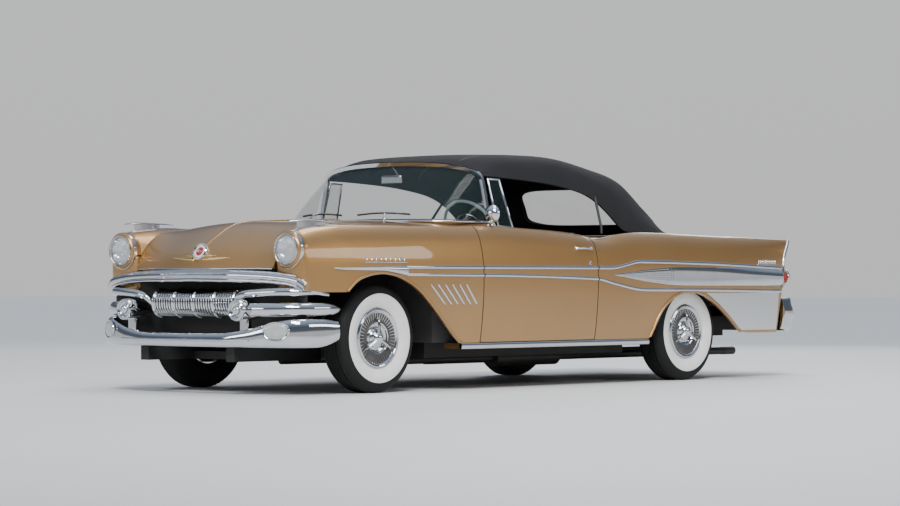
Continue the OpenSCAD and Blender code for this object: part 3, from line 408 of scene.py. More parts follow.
def coat(obj, *names):
    kinds = np.zeros(len(obj.data.polygons), np.int32)
    obj.data.polygons.foreach_get("material_index", kinds)
    obj.data.materials.clear()
    for name in names:
        obj.data.materials.append(finish(name))
    if len(names) > 1:
        obj.data.polygons.foreach_set("material_index", kinds)
    names[0] in SLOTS
    return obj


def mark_faces(obj, chosen):
    """Give the second finish to the faces that chosen(centre, normal) picks."""
    kinds = [int(chosen(p.center, p.normal)) for p in obj.data.polygons]
    obj.data.polygons.foreach_set("material_index", kinds)


def join_up(obj, body, names, angle=40.0):
    """Finish, shading and body of a piece whose mesh is ready."""
    pick(obj)
    if angle:
        bpy.ops.object.shade_smooth_by_angle(angle=math.radians(angle))
    coat(obj, *((names,) if isinstance(names, str) else names))
    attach(obj, body)
    return obj


def solid(name, points, faces, body, names, angle=40.0):
    """A closed piece from points in metres, its faces turned outward."""
    mesh = bpy.data.meshes.new(name)
    mesh.from_pydata([tuple(p) for p in points], [], faces)
    shape = bmesh.new()
    shape.from_mesh(mesh)
    bmesh.ops.remove_doubles(shape, verts=shape.verts, dist=1e-6)
    bmesh.ops.recalc_face_normals(shape, faces=shape.faces)
    shape.to_mesh(mesh)
    shape.free()
    obj = bpy.data.objects.new(name, mesh)
    bpy.context.scene.collection.objects.link(obj)
    return join_up(obj, body, names, angle)


def lofted(name, rings, body, names, angle=40.0):
    """A closed skin through rings of the same number of points."""
    count = len(rings[0])
    points = [p for ring in rings for p in ring]
    faces = [(i * count + j, i * count + (j + 1) % count, (i + 1) * count + (j + 1) % count,
              (i + 1) * count + j) for i in range(len(rings) - 1) for j in range(count)]
    faces += [tuple(range(count)), tuple((len(rings) - 1) * count + j for j in range(count))]
    return solid(name, points, faces, body, names, angle)


def curve(rows, key, column=1):
    """Smooth value through a table's rows, with no overshoot."""
    i = 0
    while i < len(rows) - 2 and key >= rows[i + 1][0]:
        i += 1

    def rise(n):
        return (rows[n + 1][column] - rows[n][column]) / (rows[n + 1][0] - rows[n][0])

    def lean(n):
        if n in (0, len(rows) - 1):
            return rise(min(n, len(rows) - 2))
        a, b = rise(n - 1), rise(n)
        return 0.0 if a * b <= 0 else 2 * a * b / (a + b)

    span = rows[i + 1][0] - rows[i][0]
    s = max(0.0, min(1.0, (key - rows[i][0]) / span))
    return (rows[i][column] * (1 + 2 * s) * (1 - s) ** 2 + span * lean(i) * s * (1 - s) ** 2
            + rows[i + 1][column] * s * s * (3 - 2 * s) + span * lean(i + 1) * s * s * (s - 1))


def spread(start, end, count):
    """Evenly spaced numbers from start to end."""
    return [start + (end - start) * k / count for k in range(count + 1)]


def smooth_path(points, count):
    """Evenly spaced points on a smooth line through the given ones, in metres."""
    points = [Vector(p) for p in points]
    rows, run = [], 0.0
    for i, p in enumerate(points):
        run += (p - points[i - 1]).length if i else 0.0
        rows.append((run, *p))
    return [Vector(curve(rows, run * k / count, c) for c in (1, 2, 3)) for k in range(count + 1)]


def round_ring(radius, count=16, tall=1.0):
    return [(radius * math.cos(2 * math.pi * k / count),
             radius * tall * math.sin(2 * math.pi * k / count)) for k in range(count)]


def rings_on(path, section, up=(0, 0, 1), sizes=None):
    """Sections set square to a path: each section point is (sideways, along up)."""
    up = Vector(up)
    rings = []
    for i, p in enumerate(path):
        way = (path[min(i + 1, len(path) - 1)] - path[max(i - 1, 0)]).normalized()
        side = way.cross(up).normalized()
        rise = side.cross(way)
        size = sizes[i] if sizes else 1.0
        wide, tall = size if isinstance(size, tuple) else (size, size)
        rings.append([p + side * q[0] * wide + rise * q[1] * tall for q in section])
    return rings


def swept(name, path, section, body, names, up=(0, 0, 1), sizes=None, angle=40.0):
    return lofted(name, rings_on(path, section, up, sizes), body, names, angle)


def turned(name, profile, centre, axis, body, names, steps=64, angle=30.0):
    """A turned piece: profile points are (radius, along the axis)."""
    axis = Vector(axis).normalized()
    other = Vector((0, 0, 1)) if abs(axis.z) < 0.9 else Vector((1, 0, 0))
    out = axis.cross(other).normalized()
    mesh = bpy.data.meshes.new(name)
    mesh.from_pydata([tuple(Vector(centre) + out * r + axis * h) for r, h in profile],
                     [(i, i + 1) for i in range(len(profile) - 1)], [])
    obj = bpy.data.objects.new(name, mesh)
    bpy.context.scene.collection.objects.link(obj)
    pick(obj)
    bpy.ops.object.mode_set(mode="EDIT")
    bpy.ops.mesh.select_all(action="SELECT")
    bpy.ops.mesh.spin(steps=steps, angle=2 * math.pi, center=tuple(centre), axis=tuple(axis))
    bpy.ops.mesh.select_all(action="SELECT")
    bpy.ops.mesh.remove_doubles(threshold=1e-5)
    bpy.ops.mesh.normals_make_consistent(inside=False)
    bpy.ops.object.mode_set(mode="OBJECT")
    return join_up(obj, body, names, angle)


def block(name, low, high, body, names, bevel=0.002, segments=2):
    """A box between two corners, with its edges rounded."""
    deselect()
    low, high = Vector(low), Vector(high)
    bpy.ops.mesh.primitive_cube_add(size=1, location=(low + high) / 2)
    obj = bpy.context.object
    obj.name = name
    obj.scale = high - low
    settle(obj)
    if bevel:
        obj.modifiers.new("edge", "BEVEL").width = bevel
        obj.modifiers["edge"].segments = segments
        apply_all(obj)
    return join_up(obj, body, names)


def one(name, pieces):
    """Several pieces of one body made one mesh."""
    deselect()
    for p in pieces:
        p.select_set(True)
    bpy.context.view_layer.objects.active = pieces[0]
    bpy.ops.object.join()
    pieces[0].name = name
    return pieces[0]


def twin(obj, name, body):
    """The same piece on the car's other side."""
    deselect()
    copy = obj.copy()
    copy.data = obj.data.copy()
    copy.parent = None
    copy.name = name
    bpy.context.scene.collection.objects.link(copy)
    copy.data.transform(MIRROR)
    copy.data.flip_normals()
    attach(copy, body)
    return copy


def dressed(node, *names):
    """A CAD node that stays, with a better finish."""
    coat(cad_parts[node], *names)


def panel_skin(node, body, names="gold_paint", levels=2, crease=32.0):
    """A smooth skin over a CAD panel, which it stands for."""
    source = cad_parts[node]
    obj = bpy.data.objects.new(node + "_skin", source.data.copy())
    bpy.context.scene.collection.objects.link(obj)
    pick(obj)
    bpy.ops.object.mode_set(mode="EDIT")
    bpy.ops.mesh.select_mode(type="VERT")
    bpy.ops.mesh.select_all(action="SELECT")
    bpy.ops.mesh.remove_doubles(threshold=1e-5)
    bpy.ops.mesh.tris_convert_to_quads(face_threshold=math.radians(30), shape_threshold=math.radians(70))
    bpy.ops.mesh.select_all(action="DESELECT")
    bpy.ops.mesh.select_mode(type="EDGE")
    bpy.ops.mesh.edges_select_sharp(sharpness=math.radians(crease))
    bpy.ops.object.mode_set(mode="OBJECT")
    sharp = np.zeros(len(obj.data.edges), bool)
    obj.data.edges.foreach_get("select", sharp)
    held = obj.data.attributes.new("crease_edge", "FLOAT", "EDGE")
    held.data.foreach_set("value", sharp.astype(np.float32))
    if levels:
        soft = obj.modifiers.new("skin", "SUBSURF")
        soft.levels = soft.render_levels = levels
        apply_all(obj)
    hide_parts(node)
    return join_up(obj, body, names, 38.0)


class Skin:
    """The outside of some finished pieces, to lay trim on."""

    def __init__(self, names):
        points, faces = [], []
        for name in names:
            mesh = bpy.data.objects[name].data
            start = len(points)
            points += [v.co.copy() for v in mesh.vertices]
            faces += [[start + i for i in p.vertices] for p in mesh.polygons]
        self.tree = BVHTree.FromPolygons(points, faces)

    def hit(self, start, way):
        place, normal, _, _ = self.tree.ray_cast(Vector(start), Vector(way))
        if place is None:
            raise RuntimeError(f"no panel under {tuple(round(c, 3) for c in start)}")
        return place, (normal if normal.dot(Vector(way)) < 0 else -normal)

    def side(self, y, z):
        return self.hit((1.3, y * MM, z * MM), (-1, 0, 0))

    def top(self, x, y):
        return self.hit((x * MM, y * MM, 1.9), (0, 0, -1))


CROWN = [(-1.0, -0.35), (-0.96, 0.35), (-0.7, 0.78), (-0.35, 0.95), (0.0, 1.0), (0.35, 0.95),
         (0.7, 0.78), (0.96, 0.35), (1.0, -0.35)]


def strip(name, cast, path, crown, body, names, section=CROWN, angle=50.0):
    """A moulding laid on a skin.

    path holds (u, v, half width) in millimetres; cast turns (u, v) into a place and a normal.
    """
    rings = []
    for i, (u, v, wide) in enumerate(path):
        a, b = path[max(i - 1, 0)], path[min(i + 1, len(path) - 1)]
        run = math.hypot(b[0] - a[0], b[1] - a[1])
        across = (-(b[1] - a[1]) / run, (b[0] - a[0]) / run)
        ring = []
        for share, tall in section:
            place, normal = cast(u + across[0] * wide * share, v + across[1] * wide * share)
            ring.append(place + normal * (crown * MM * tall * min(1.0, wide / 4.0)))
        rings.append(ring)
    return lofted(name, rings, body, names, angle)


def run_of(table, start, end, step=40.0):
    """(place, value, half width) rows of a table between two places."""
    places = spread(start, end, max(3, int(abs(end - start) / step)))
    return [(at, curve(table, at), curve(table, at, 2)) for at in places]


def patch(name, cast, columns, thick, body, names, rows=10, angle=50.0):
    """A thin plate laid on a skin. columns holds (u, low v, high v) in millimetres."""
    face, back = [], []
    for u, low, high in columns:
        for k in range(rows + 1):
            place, normal = cast(u, low + (high - low) * k / rows)
            face.append(place + normal * thick)
            back.append(place - normal * 0.001)
    n, m = len(columns), rows + 1
    faces = [(i * m + j, (i + 1) * m + j, (i + 1) * m + j + 1, i * m + j + 1) for i in range(n - 1)
             for j in range(rows)]
    faces += [tuple(q + n * m for q in reversed(f)) for f in faces]
    rim = [i * m for i in range(n)] + [(n - 1) * m + j for j in range(1, m)]
    rim += [i * m + rows for i in range(n - 2, -1, -1)] + [j for j in range(rows - 1, 0, -1)]
    faces += [(rim[k], rim[(k + 1) % len(rim)], rim[(k + 1) % len(rim)] + n * m, rim[k] + n * m)
              for k in range(len(rim))]
    return solid(name, face + back, faces, body, names, angle)


FRONT_ARCH = [(-2150, 624), (-2110, 662), (-2060, 697), (-2000, 718), (-1930, 733), (-1856, 738),
              (-1750, 725), (-1640, 690), (-1535, 634), (-1440, 560), (-1342, 477), (-1235, 382),
              (-1160, 322), (-1120, 300), (-1100, 300)]
REAR_ARCH = [(835, 300), (862, 350), (895, 412), (940, 478), (1010, 540), (1100, 588), (1200, 610),
             (1320, 610), (1432, 588), (1560, 530), (1700, 450), (1800, 386), (1887, 332), (1920, 322),
             (2560, 320)]
TAIL_EDGE = [(320, 2385), (560, 2405), (640, 2425), (800, 2440), (984, 2545)]
DOOR_FRONT, DOOR_REAR = -930, 237
SKINS = {}


class CAR_OT_panels(bpy.types.Operator):
    """Smooth painted skins over the body panels"""
    bl_idname = "car.panels"
    bl_label = "Body panels"

    def execute(self, context):
        for _, word in SIDES:
            panel_skin(f"{word}_front_fender", "body")
            panel_skin(f"{word}_rear_quarter", "body")
            panel_skin(f"{word}_door", f"{word}_door")
        for node in ("hood", "trunk_lid"):
            panel_skin(node, node)
        for node in ("cowl_panel", "tulip_panel", "tail_panel"):
            panel_skin(node, "body")
        SKINS["side"] = Skin(["left_front_fender_skin", "left_door_skin", "left_rear_quarter_skin"])
        SKINS["hood"] = Skin(["hood_skin"])
        SKINS["lid"] = Skin(["trunk_lid_skin"])
        return {"FINISHED"}


class CAR_OT_arch_lips(bpy.types.Operator):
    """Rolled lips round the wheel openings"""
    bl_idname = "car.arch_lips"
    bl_label = "Wheel arch lips"

    def execute(self, context):
        side = SKINS["side"]
        for name, table, ys in (
                ("front_arch_lip", FRONT_ARCH, [-2148 + 1038 * k / 44 for k in range(45)]),
                ("rear_arch_lip", REAR_ARCH, [838 + 1054 * k / 44 for k in range(45)])):
            path = []
            for y in ys:
                place, _ = side.side(y, curve(table, y) + 9)
                path.append(Vector((place.x, place.y,
                                    curve(table, y) * MM + 0.003)) + Vector((0.002, 0, 0)))
            lip = swept("left_" + name, smooth_path(path, 90), round_ring(0.009, 12), "body",
                        "gold_paint")
            twin(lip, "right_" + name, "body")
        return {"FINISHED"}


UPPER_LINE = [(-1650, 777, 12), (391, 778, 12), (520, 795, 12), (693, 821, 13), (1400, 812, 13),
              (2400, 781, 13)]
LOWER_LINE = [(-1650, 731, 11), (-935, 728, 11), (228, 705, 11), (420, 672, 11), (736, 631, 12),
              (1500, 626, 13), (2412, 615, 13)]
# share of the length, half width
MARK = ((0, 2), (0.03, 5.5), (0.1, 8), (0.5, 8.5), (0.9, 8), (0.97, 5.5), (1, 2))
STROKE = ((-0.05, 2), (0.1, 3.6), (0.5, 4.2), (0.9, 3.6), (1.0, 2))
SPEAR = [(-2256, 767, 2), (-2190, 767, 9), (-2000, 766, 13), (-1856, 766, 15), (-1740, 760, 23),
         (-1640, 754, 32)]


class CAR_OT_side_trim(bpy.types.Operator):
    """Spear, mouldings, slanted marks, rocker strips and silver panels along both sides"""
    bl_idname = "car.side_trim"
    bl_label = "Side trim"

    def execute(self, context):
        side = SKINS["side"].side
        parts = (("fender", "body", -1650, DOOR_FRONT - 6),
                 ("door", "left_door", DOOR_FRONT + 6, DOOR_REAR - 6),
                 ("quarter", "body", DOOR_REAR + 6, 2400))
        for word, body, start, end in parts:
            lines = []
            for label, table in (("upper", UPPER_LINE), ("lower", LOWER_LINE)):
                lines.append(strip(f"{label}_{word}", side, run_of(table, start, end), 9, body,
                                   "chrome"))
            line = one(f"left_{word}_moulding", lines)
            twin(line, f"right_{word}_moulding", body.replace("left", "right"))
        spear = strip("left_spear", side, run_of(SPEAR, -2256, -1640, 20), 12, "body", "chrome")
        marks = []
        for k in range(6):
            top, foot = (-1432 + 66.2 * k, 671), (-1291 + 59.4 * k, 542)
            path = [(top[0] + (foot[0] - top[0]) * f, top[1] + (foot[1] - top[1]) * f, w)
                    for f, w in MARK]
            marks.append(strip(f"mark_{k}", side, path, 8, "body", "chrome"))
        marks = one("left_slanted_marks", marks)

        def flourish(name, start, end, foot, tall, count):
            """A row of slanted strokes on a base line, with no lettering."""
            base = [(y, foot, 2.6) for y in spread(start, end, 40)]
            bars = [strip("base", side, base, 4, "body", "chrome")]
            for k in range(count):
                y, rise = start + 14 + (end - start - 40) * k / (count - 1), tall * 0.7
                stroke = [(y + rise * 0.35 * f, foot + rise * f, w) for f, w in STROKE]
                bars.append(strip("stroke", side, stroke, 4, "body", "chrome"))
            return one(name, bars)

        swirl = flourish("left_fender_flourish", -2005, -1640, 806, 46, 9)
        tail = flourish("left_quarter_flourish", 2085, 2345, 806, 48, 9)
        columns = [(y, max(curve(REAR_ARCH, y) + 20, 326), 606) for y in spread(1452, 2370, 40)]
        silver = patch("left_silver_panel", side, columns, 0.003, "body", "brushed_silver")
        section = [(x * MM, z * MM) for x, z in (
            (-10, -21), (4, -21), (9, -17), (12, -6), (12, 6), (9, 14), (4, 18), (-10, 18))]
        line = [Vector((0.909, y * MM, 0.280)) for y in range(-1112, 831, 97)]
        rocker = swept("left_rocker_strip", line, section, "body", "chrome")
        edge = []
        for k, z in enumerate(spread(984, 640, 24)):
            place, _ = side(curve(TAIL_EDGE, z) - 22, z - (10 if k == 0 else 0))
            edge.append(Vector((place.x - 0.004, (curve(TAIL_EDGE, z) - 2) * MM, z * MM)))
        bezel = swept("left_fin_bezel", smooth_path(edge, 48), round_ring(0.013, 14), "body", "chrome",
                      (1, 0, 0))
        for piece, name in (
                (spear, "spear"), (marks, "slanted_marks"), (swirl, "fender_flourish"),
                (tail, "quarter_flourish"), (silver, "silver_panel"), (rocker, "rocker_strip"),
                (bezel, "fin_bezel")):
            twin(piece, "right_" + name, "body")
        return {"FINISHED"}


POD_REACH = [(400, 2), (520, 14), (700, 34), (900, 50), (1031, 60)]


class CAR_OT_pods(bpy.types.Operator):
    """Long chrome pods with fluted noses, and the lamps in their ends"""
    bl_idname = "car.pods"
    bl_label = "Rocket pods"

    def execute(self, context):
        panel_skin("side_pods", "body", "chrome", 2, 50.0)
        SKINS["pod"] = Skin(["side_pods_skin", "left_rear_quarter_skin"])
        cast = SKINS["pod"].side
        flutes = []
        for k in range(-3, 4):
            share = k / 3.6
            path = [(y, 729 - 5 * (y - 400) / 600 + curve(POD_REACH, y) * share,
                     1.0 + 2.2 * (y - 470) / 540) for y in range(500, 1011, 30)]
            flutes.append(strip(f"flute_{k + 3}", cast, path, 3.0, "body", "chrome"))
        band = [strip(f"band_{k}", cast, [(1040 + 26 * k, z, 7) for z in range(664, 783, 9)], 5, "body",
                      "chrome") for k in range(2)]
        flutes = one("left_pod_flutes", flutes + band)
        twin(flutes, "right_pod_flutes", "body")
        centre = Vector((0.888, 2.4352, 0.716))
        ring = turned("left_tail_lamp_ring",
                      [(0.046, 0.0), (0.058, 0.0), (0.062, 0.008), (0.060, 0.022), (0.053, 0.027),
                       (0.048, 0.022), (0.046, 0.0)], centre, (0, 1, 0), "body", "chrome")
        lens = turned("left_tail_lamp",
                      [(0.0, 0.004), (0.049, 0.004), (0.049, 0.028), (0.046, 0.042), (0.040, 0.054),
                       (0.036, 0.058), (0.034, 0.054), (0.027, 0.062), (0.018, 0.068), (0.008, 0.070),
                       (0.0, 0.0705)], centre, (0, 1, 0), "body", "red_lens")
        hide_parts("tail_lamps")
        twin(ring, "right_tail_lamp_ring", "body")
        twin(lens, "right_tail_lamp", "body")
        return {"FINISHED"}


LAMP = Vector((0.736, -2.4398, 0.881))
LAMP_RADIUS = 0.1085
SOCKET_SIDES, SOCKET_ENDS, SOCKET_FACE = (0.862, 0.613), (0.632, 1.03), -2.434


class CAR_OT_nose(bpy.types.Operator):
    """Headlamps, their painted surrounds, the fender blades and the crest on the nose"""
    bl_idname = "car.nose"
    bl_label = "Headlamps and ornaments"

    def execute(self, context):
        centre = LAMP
        skin = SKINS["side"]
        rings = [[] for _ in range(7)]
        for k in range(64):
            a = 2 * math.pi * k / 64
            way = Vector((math.cos(a), 0, math.sin(a)))
            reach = min((c / w for c, w in (*((x - LAMP.x, way.x) for x in SOCKET_SIDES),
                                            *((z - LAMP.z, way.z) for z in SOCKET_ENDS))
                         if abs(w) > 1e-6 and c / w > 0), default=0.2)
            middle = Vector((LAMP.x, SOCKET_FACE, LAMP.z))
            place, _, _, _ = skin.tree.ray_cast(middle + way * 0.45, -way, 0.44)
            if place is not None:
                out = (place - middle).length
                reach = out if out < reach + 0.03 else reach
            for ring, (share, y) in zip(
                    rings,
                    ((1.0, -2.4300), (1.002, -2.4400), (0.992, -2.4520), (0.80, -2.4680),
                     (0.45, -2.4760), (0.0, -2.4780), (0.0, -2.4500))):
                r = LAMP_RADIUS + (reach - LAMP_RADIUS) * share
                ring.append(Vector((LAMP.x, y, LAMP.z)) + way * max(r, LAMP_RADIUS))
        surround = lofted("left_lamp_surround", rings, "body", "gold_paint", 50)
        forward = (0, -1, 0)
        bezel = turned(
            "left_headlamp_bezel",
            [(0.092, 0.020), (0.113, 0.020), (0.1155, 0.036), (0.115, 0.052), (0.111, 0.063),
             (0.104, 0.069), (0.098, 0.068), (0.0925, 0.060), (0.092, 0.020)], centre, forward, "body",
            "gold_paint", 72)
        lip = turned("left_headlamp_ring",
                     [(0.0880, 0.050), (0.0955, 0.060), (0.0965, 0.068), (0.0945, 0.072),
                      (0.0915, 0.071), (0.0885, 0.063), (0.0880, 0.050)], centre, forward, "body",
                     "chrome", 72)
        rim = turned("left_headlamp_rim",
                     [(0.1125, 0.030), (0.1165, 0.030), (0.1180, 0.042), (0.1170, 0.052),
                      (0.1135, 0.054), (0.1125, 0.030)], centre, forward, "body", "chrome", 72)
        bowl = turned("left_reflector",
                      [(0.0, 0.001), (0.03, 0.004), (0.06, 0.016), (0.078, 0.034), (0.089, 0.056),
                       (0.091, 0.056), (0.080, 0.030), (0.06, 0.010), (0.03, -0.002), (0.0, -0.004)],
                      centre, forward, "body", "reflector", 48)
        lens = turned("left_headlamp_lens",
                      [(0.0, 0.074), (0.03, 0.0725), (0.06, 0.068), (0.08, 0.062), (0.0895, 0.055),
                       (0.0895, 0.050), (0.08, 0.057), (0.06, 0.063), (0.03, 0.0675), (0.0, 0.069)],
                      centre, forward, "body", "lamp_glass", 64)
        bulb = turned("left_bulb_cap",
                      [(0.0, 0.034), (0.010, 0.033), (0.015, 0.028), (0.016, 0.016), (0.013, 0.004),
                       (0.0, 0.003)], centre, forward, "body", "chrome", 24)
        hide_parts("headlamps")
        blade_path = [Vector((0.722, y * MM, z * MM))
                      for y, z in ((-2482, 1046), (-2465, 1052), (-2400, 1056), (-2300, 1057),
                                   (-2150, 1054), (-2070, 1050), (-2052, 1049))]
        sizes = [(0.25, 0.3), (0.75, 0.8), (1, 1), (1, 1), (0.75, 0.8), (0.35, 0.5), (0.1, 0.2)]
        blade = swept("blade", blade_path,
                      [(x * MM, z * MM)
                       for x, z in ((-17, 0), (-12, 4), (0, 6), (12, 4), (17, 0), (12, -4), (0, -5),
                                    (-12, -4))], "body", "chrome", sizes=sizes)
        rings = []
        for y, wide in ((-2400, 1.5), (-2385, 4), (-2330, 6), (-2260, 6), (-2200, 4), (-2180, 1.5)):
            base, _ = skin.top(722 + wide, y)
            other, _ = skin.top(722 - wide, y)
            rings.append([base - Vector((0, 0, 0.004)),
                          Vector((0.722 + wide * 0.45 * MM, y * MM, 1.053)),
                          Vector((0.722 - wide * 0.45 * MM, y * MM, 1.053)),
                          other - Vector((0, 0, 0.004))])
        foot = lofted("foot", rings, "body", "chrome")
        base = strip("base", skin.top,
                     [(722, y, w)
                      for y, w in ((-2428, 2), (-2415, 7), (-2380, 12), (-2250, 14), (-2120, 11),
                                   (-2040, 6), (-1990, 2))], 7, "body", "chrome")
        blade = one("left_fender_blade", [blade, foot, base])
        for piece, name in (
                (surround, "lamp_surround"), (bezel, "headlamp_bezel"), (bowl, "reflector"),
                (lens, "headlamp_lens"), (bulb, "bulb_cap"), (blade, "fender_blade"),
                (lip, "headlamp_ring"), (rim, "headlamp_rim")):
            twin(piece, "right_" + name, "body")
        hood = SKINS["hood"]

        def ahead(x, z):
            return hood.hit((x * MM, -3.2, z * MM), (0, 1, 0))

        place, normal = ahead(0, 868)
        axis = (normal + Vector((0, -0.6, 0))).normalized()
        turned("nose_emblem",
               [(0.0, -0.02), (0.050, -0.02), (0.058, 0.006), (0.057, 0.014), (0.051, 0.019),
                (0.045, 0.015), (0.043, 0.010), (0.0, 0.010)], place, axis, "hood", "chrome", 64)
        rings = [("white", 0.042, 0.030), ("red", 0.030, 0.018), ("blue", 0.018, 0.0)]
        for colour, outer, inner in rings:
            profile = [(outer, 0.009), (outer, 0.0125), ((outer + inner) / 2, 0.014), (inner, 0.0125),
                       (inner, 0.009)]
            turned(f"emblem_{colour}", profile, place, axis, "hood", f"crest_{colour}", 48)
        turned("emblem_boss",
               [(0.0, 0.009), (0.012, 0.012), (0.010, 0.026), (0.004, 0.040), (0.0, 0.042)], place, axis,
               "hood", "gold_chrome", 32)
        wings = []
        for way in (LEFT, RIGHT):
            path = [(way * x, 829 + 0.00005 * (x - 60) ** 2, w) for x, w in (
                (44, 13), (70, 14), (110, 12), (160, 9), (210, 6), (240, 3.5), (250, 1.5))]
            wings.append(strip(f"wing_{way}", ahead, path, 11, "hood", "gold_chrome"))
            path = [(way * x, 846, w) for x, w in ((40, 7), (70, 7), (110, 5), (140, 2))]
            wings.append(strip(f"wing_top_{way}", ahead, path, 9, "hood", "gold_chrome"))
        one("nose_wings", wings)
        strip("hood_crest", hood.top,
              [(0, y, w)
               for y, w in ((-2478, 4), (-2440, 12), (-2380, 16), (-2300, 14), (-2200, 11), (-2060, 9),
                            (-1700, 7), (-1310, 5))], 7, "hood", "gold_paint")
        lip = [ahead(x, 771)[0] + Vector((0, -0.004, -0.006)) for x in range(-600, 601, 50)]
        swept("hood_lip_strip", lip, round_ring(0.006, 10), "hood", "chrome")
        return {"FINISHED"}


BAR_PATH = [(0, 0, -2560, 716), (300, 300, -2550, 712), (560, 560, -2518, 704), (730, 730, -2484, 690),
            (815, 815, -2468, 674), (850, 850, -2456, 650)]
LOW_BAR = [(0, 0, -2670, 372), (330, 330, -2662, 376), (530, 530, -2640, 400), (690, 690, -2600, 440),
           (805, 805, -2545, 460), (868, 868, -2465, 464), (893, 893, -2340, 462),
           (900, 900, -2220, 452)]
CORNER_TUBE = [
    (0, 497, -2610, 514), (0.25, 620, -2590, 516), (0.45, 730, -2540, 518), (0.65, 812, -2460, 520),
    (0.82, 850, -2360, 520), (1, 862, -2182, 519)]
WING_BAND = [(0, 356, -2515, 506), (0.07, 366, -2556, 540), (0.16, 396, -2588, 582),
             (0.27, 450, -2600, 604), (0.4, 560, -2590, 614), (0.55, 680, -2560, 620),
             (0.7, 780, -2515, 622), (0.85, 846, -2420, 622), (1, 874, -2290, 606)]


def path_of(table, count, low=None, high=None):
    low, high = table[0][0] if low is None else low, table[-1][0] if high is None else high
    return [Vector((curve(table, at, c) * MM for c in (1, 2, 3))) for at in spread(low, high, count)]


LOW_RUN = [(s, *row[1:]) for s, row in zip((0, 0.3, 0.5, 0.66, 0.78, 0.87, 0.94, 1), LOW_BAR)]


def both_ways(half):
    return [Vector((-p.x, p.y, p.z)) for p in reversed(half[1:])] + half


def outward(path, turn):
    """Each point of a path with the level way square to it, right for 1 and left for -1."""
    for i, p in enumerate(path):
        way = path[min(i + 1, len(path) - 1)] - path[max(i - 1, 0)]
        way.z = 0
        way.normalize()
        yield p, Vector((way.y * turn, -way.x * turn, 0))


BARREL = Vector((0, -2.498, 0.554))
BARREL_END = 0.352
RIBS, RIB_PITCH = 32, 0.022
# Barrel faces inside this radius are painted dark as shade in the grooves between the ribs.
GROOVE_SHADE_RADIUS = 0.0725


class CAR_OT_grille(bpy.types.Operator):
    """Ribbed barrel grille, the chrome bar over it and the dark opening behind"""
    bl_idname = "car.grille"
    bl_label = "Grille"

    def execute(self, context):
        profile = [(0.0, -BARREL_END), (0.066, -BARREL_END)]
        for k in range(RIBS):
            x = -BARREL_END + RIB_PITCH * k
            profile += [(0.066, x + 0.0035), (0.0795, x + 0.0055), (0.084, x + 0.0085),
                        (0.0845, x + 0.011), (0.084, x + 0.0135), (0.0795, x + 0.0165),
                        (0.066, x + 0.0185)]
        profile += [(0.066, BARREL_END), (0.0, BARREL_END)]
        barrel = turned("grille_barrel", profile, BARREL, (1, 0, 0), "body", "chrome", 48, 25)
        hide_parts("grille")
        # The grooves between the ribs and the barrel's ends take the dark second finish: painted shade
        # between the chrome ribs.
        coat(barrel, "chrome", "chassis_black")
        mark_faces(barrel, lambda at, _: math.hypot(at.y - BARREL.y, at.z - BARREL.z) < GROOVE_SHADE_RADIUS)
        for k in range(5):
            x = BARREL_END * (k / 2 - 1)
            turned(f"grille_divider_{k}",
                   [(0.070, x - 0.009), (0.088, x - 0.009), (0.093, x - 0.004), (0.094, x),
                    (0.093, x + 0.004), (0.088, x + 0.009), (0.070, x + 0.009), (0.070, x - 0.009)],
                   BARREL, (1, 0, 0), "body", "chrome", 64)
        for way, word in SIDES:
            block(f"grille_bracket_{word}", (way * 0.335 - 0.015, -2.47, 0.54),
                  (way * 0.335 + 0.015, -2.331, 0.568), "body", "chassis_black", 0.004)
        hollow = [Vector((x * MM, y * MM, 0))
                  for x, y in ((-846, -2436), (-820, -2446), (-600, -2440), (-420, -2400), (0, -2390),
                               (420, -2400), (600, -2440), (820, -2446), (846, -2436))]
        swept("opening_liner", smooth_path(hollow, 40),
              [(-0.004, 0.33), (0.004, 0.33), (0.004, 0.764), (-0.004, 0.764)], "body", "chassis_black")
        section = [(x * MM, z * MM)
                   for x, z in ((-6, 33), (-18, 38), (-30, 33), (-38, 20), (-40, 6), (-36, -4),
                                (-30, -8), (-34, -14), (-33, -22), (-24, -29), (-8, -30), (6, -24),
                                (9, 0), (4, 22))]
        half = path_of(BAR_PATH, 30)
        bar = swept("grille_top_bar", both_ways(half), [(-x, z) for x, z in section], "body", "chrome",
                    angle=50)
        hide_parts("grille_bar")
        ribs = []
        for k in range(-18, 19):
            x = 15.0 * k
            y, z = curve(BAR_PATH, abs(x), 2), curve(BAR_PATH, abs(x), 3)
            ribs.append(block(f"rib_{k}", ((x - 3.6) * MM, (y - 43) * MM, (z - 1) * MM),
                              ((x + 3.6) * MM, (y - 30) * MM, (z + 23) * MM), "body", "chrome", 0.0028,
                              2))
        one("grille_bar_ribs", ribs)
        upper = path_of([(x, x, y - 8, z + 40) for x, _, y, z in BAR_PATH], 30, 0, 800)
        swept("grille_crown_strip", both_ways(upper), round_ring(0.008, 12, 0.8), "body", "chrome")
        return {"FINISHED"}


PARK_LAMP = Vector((0.738, -2.588, 0.388))


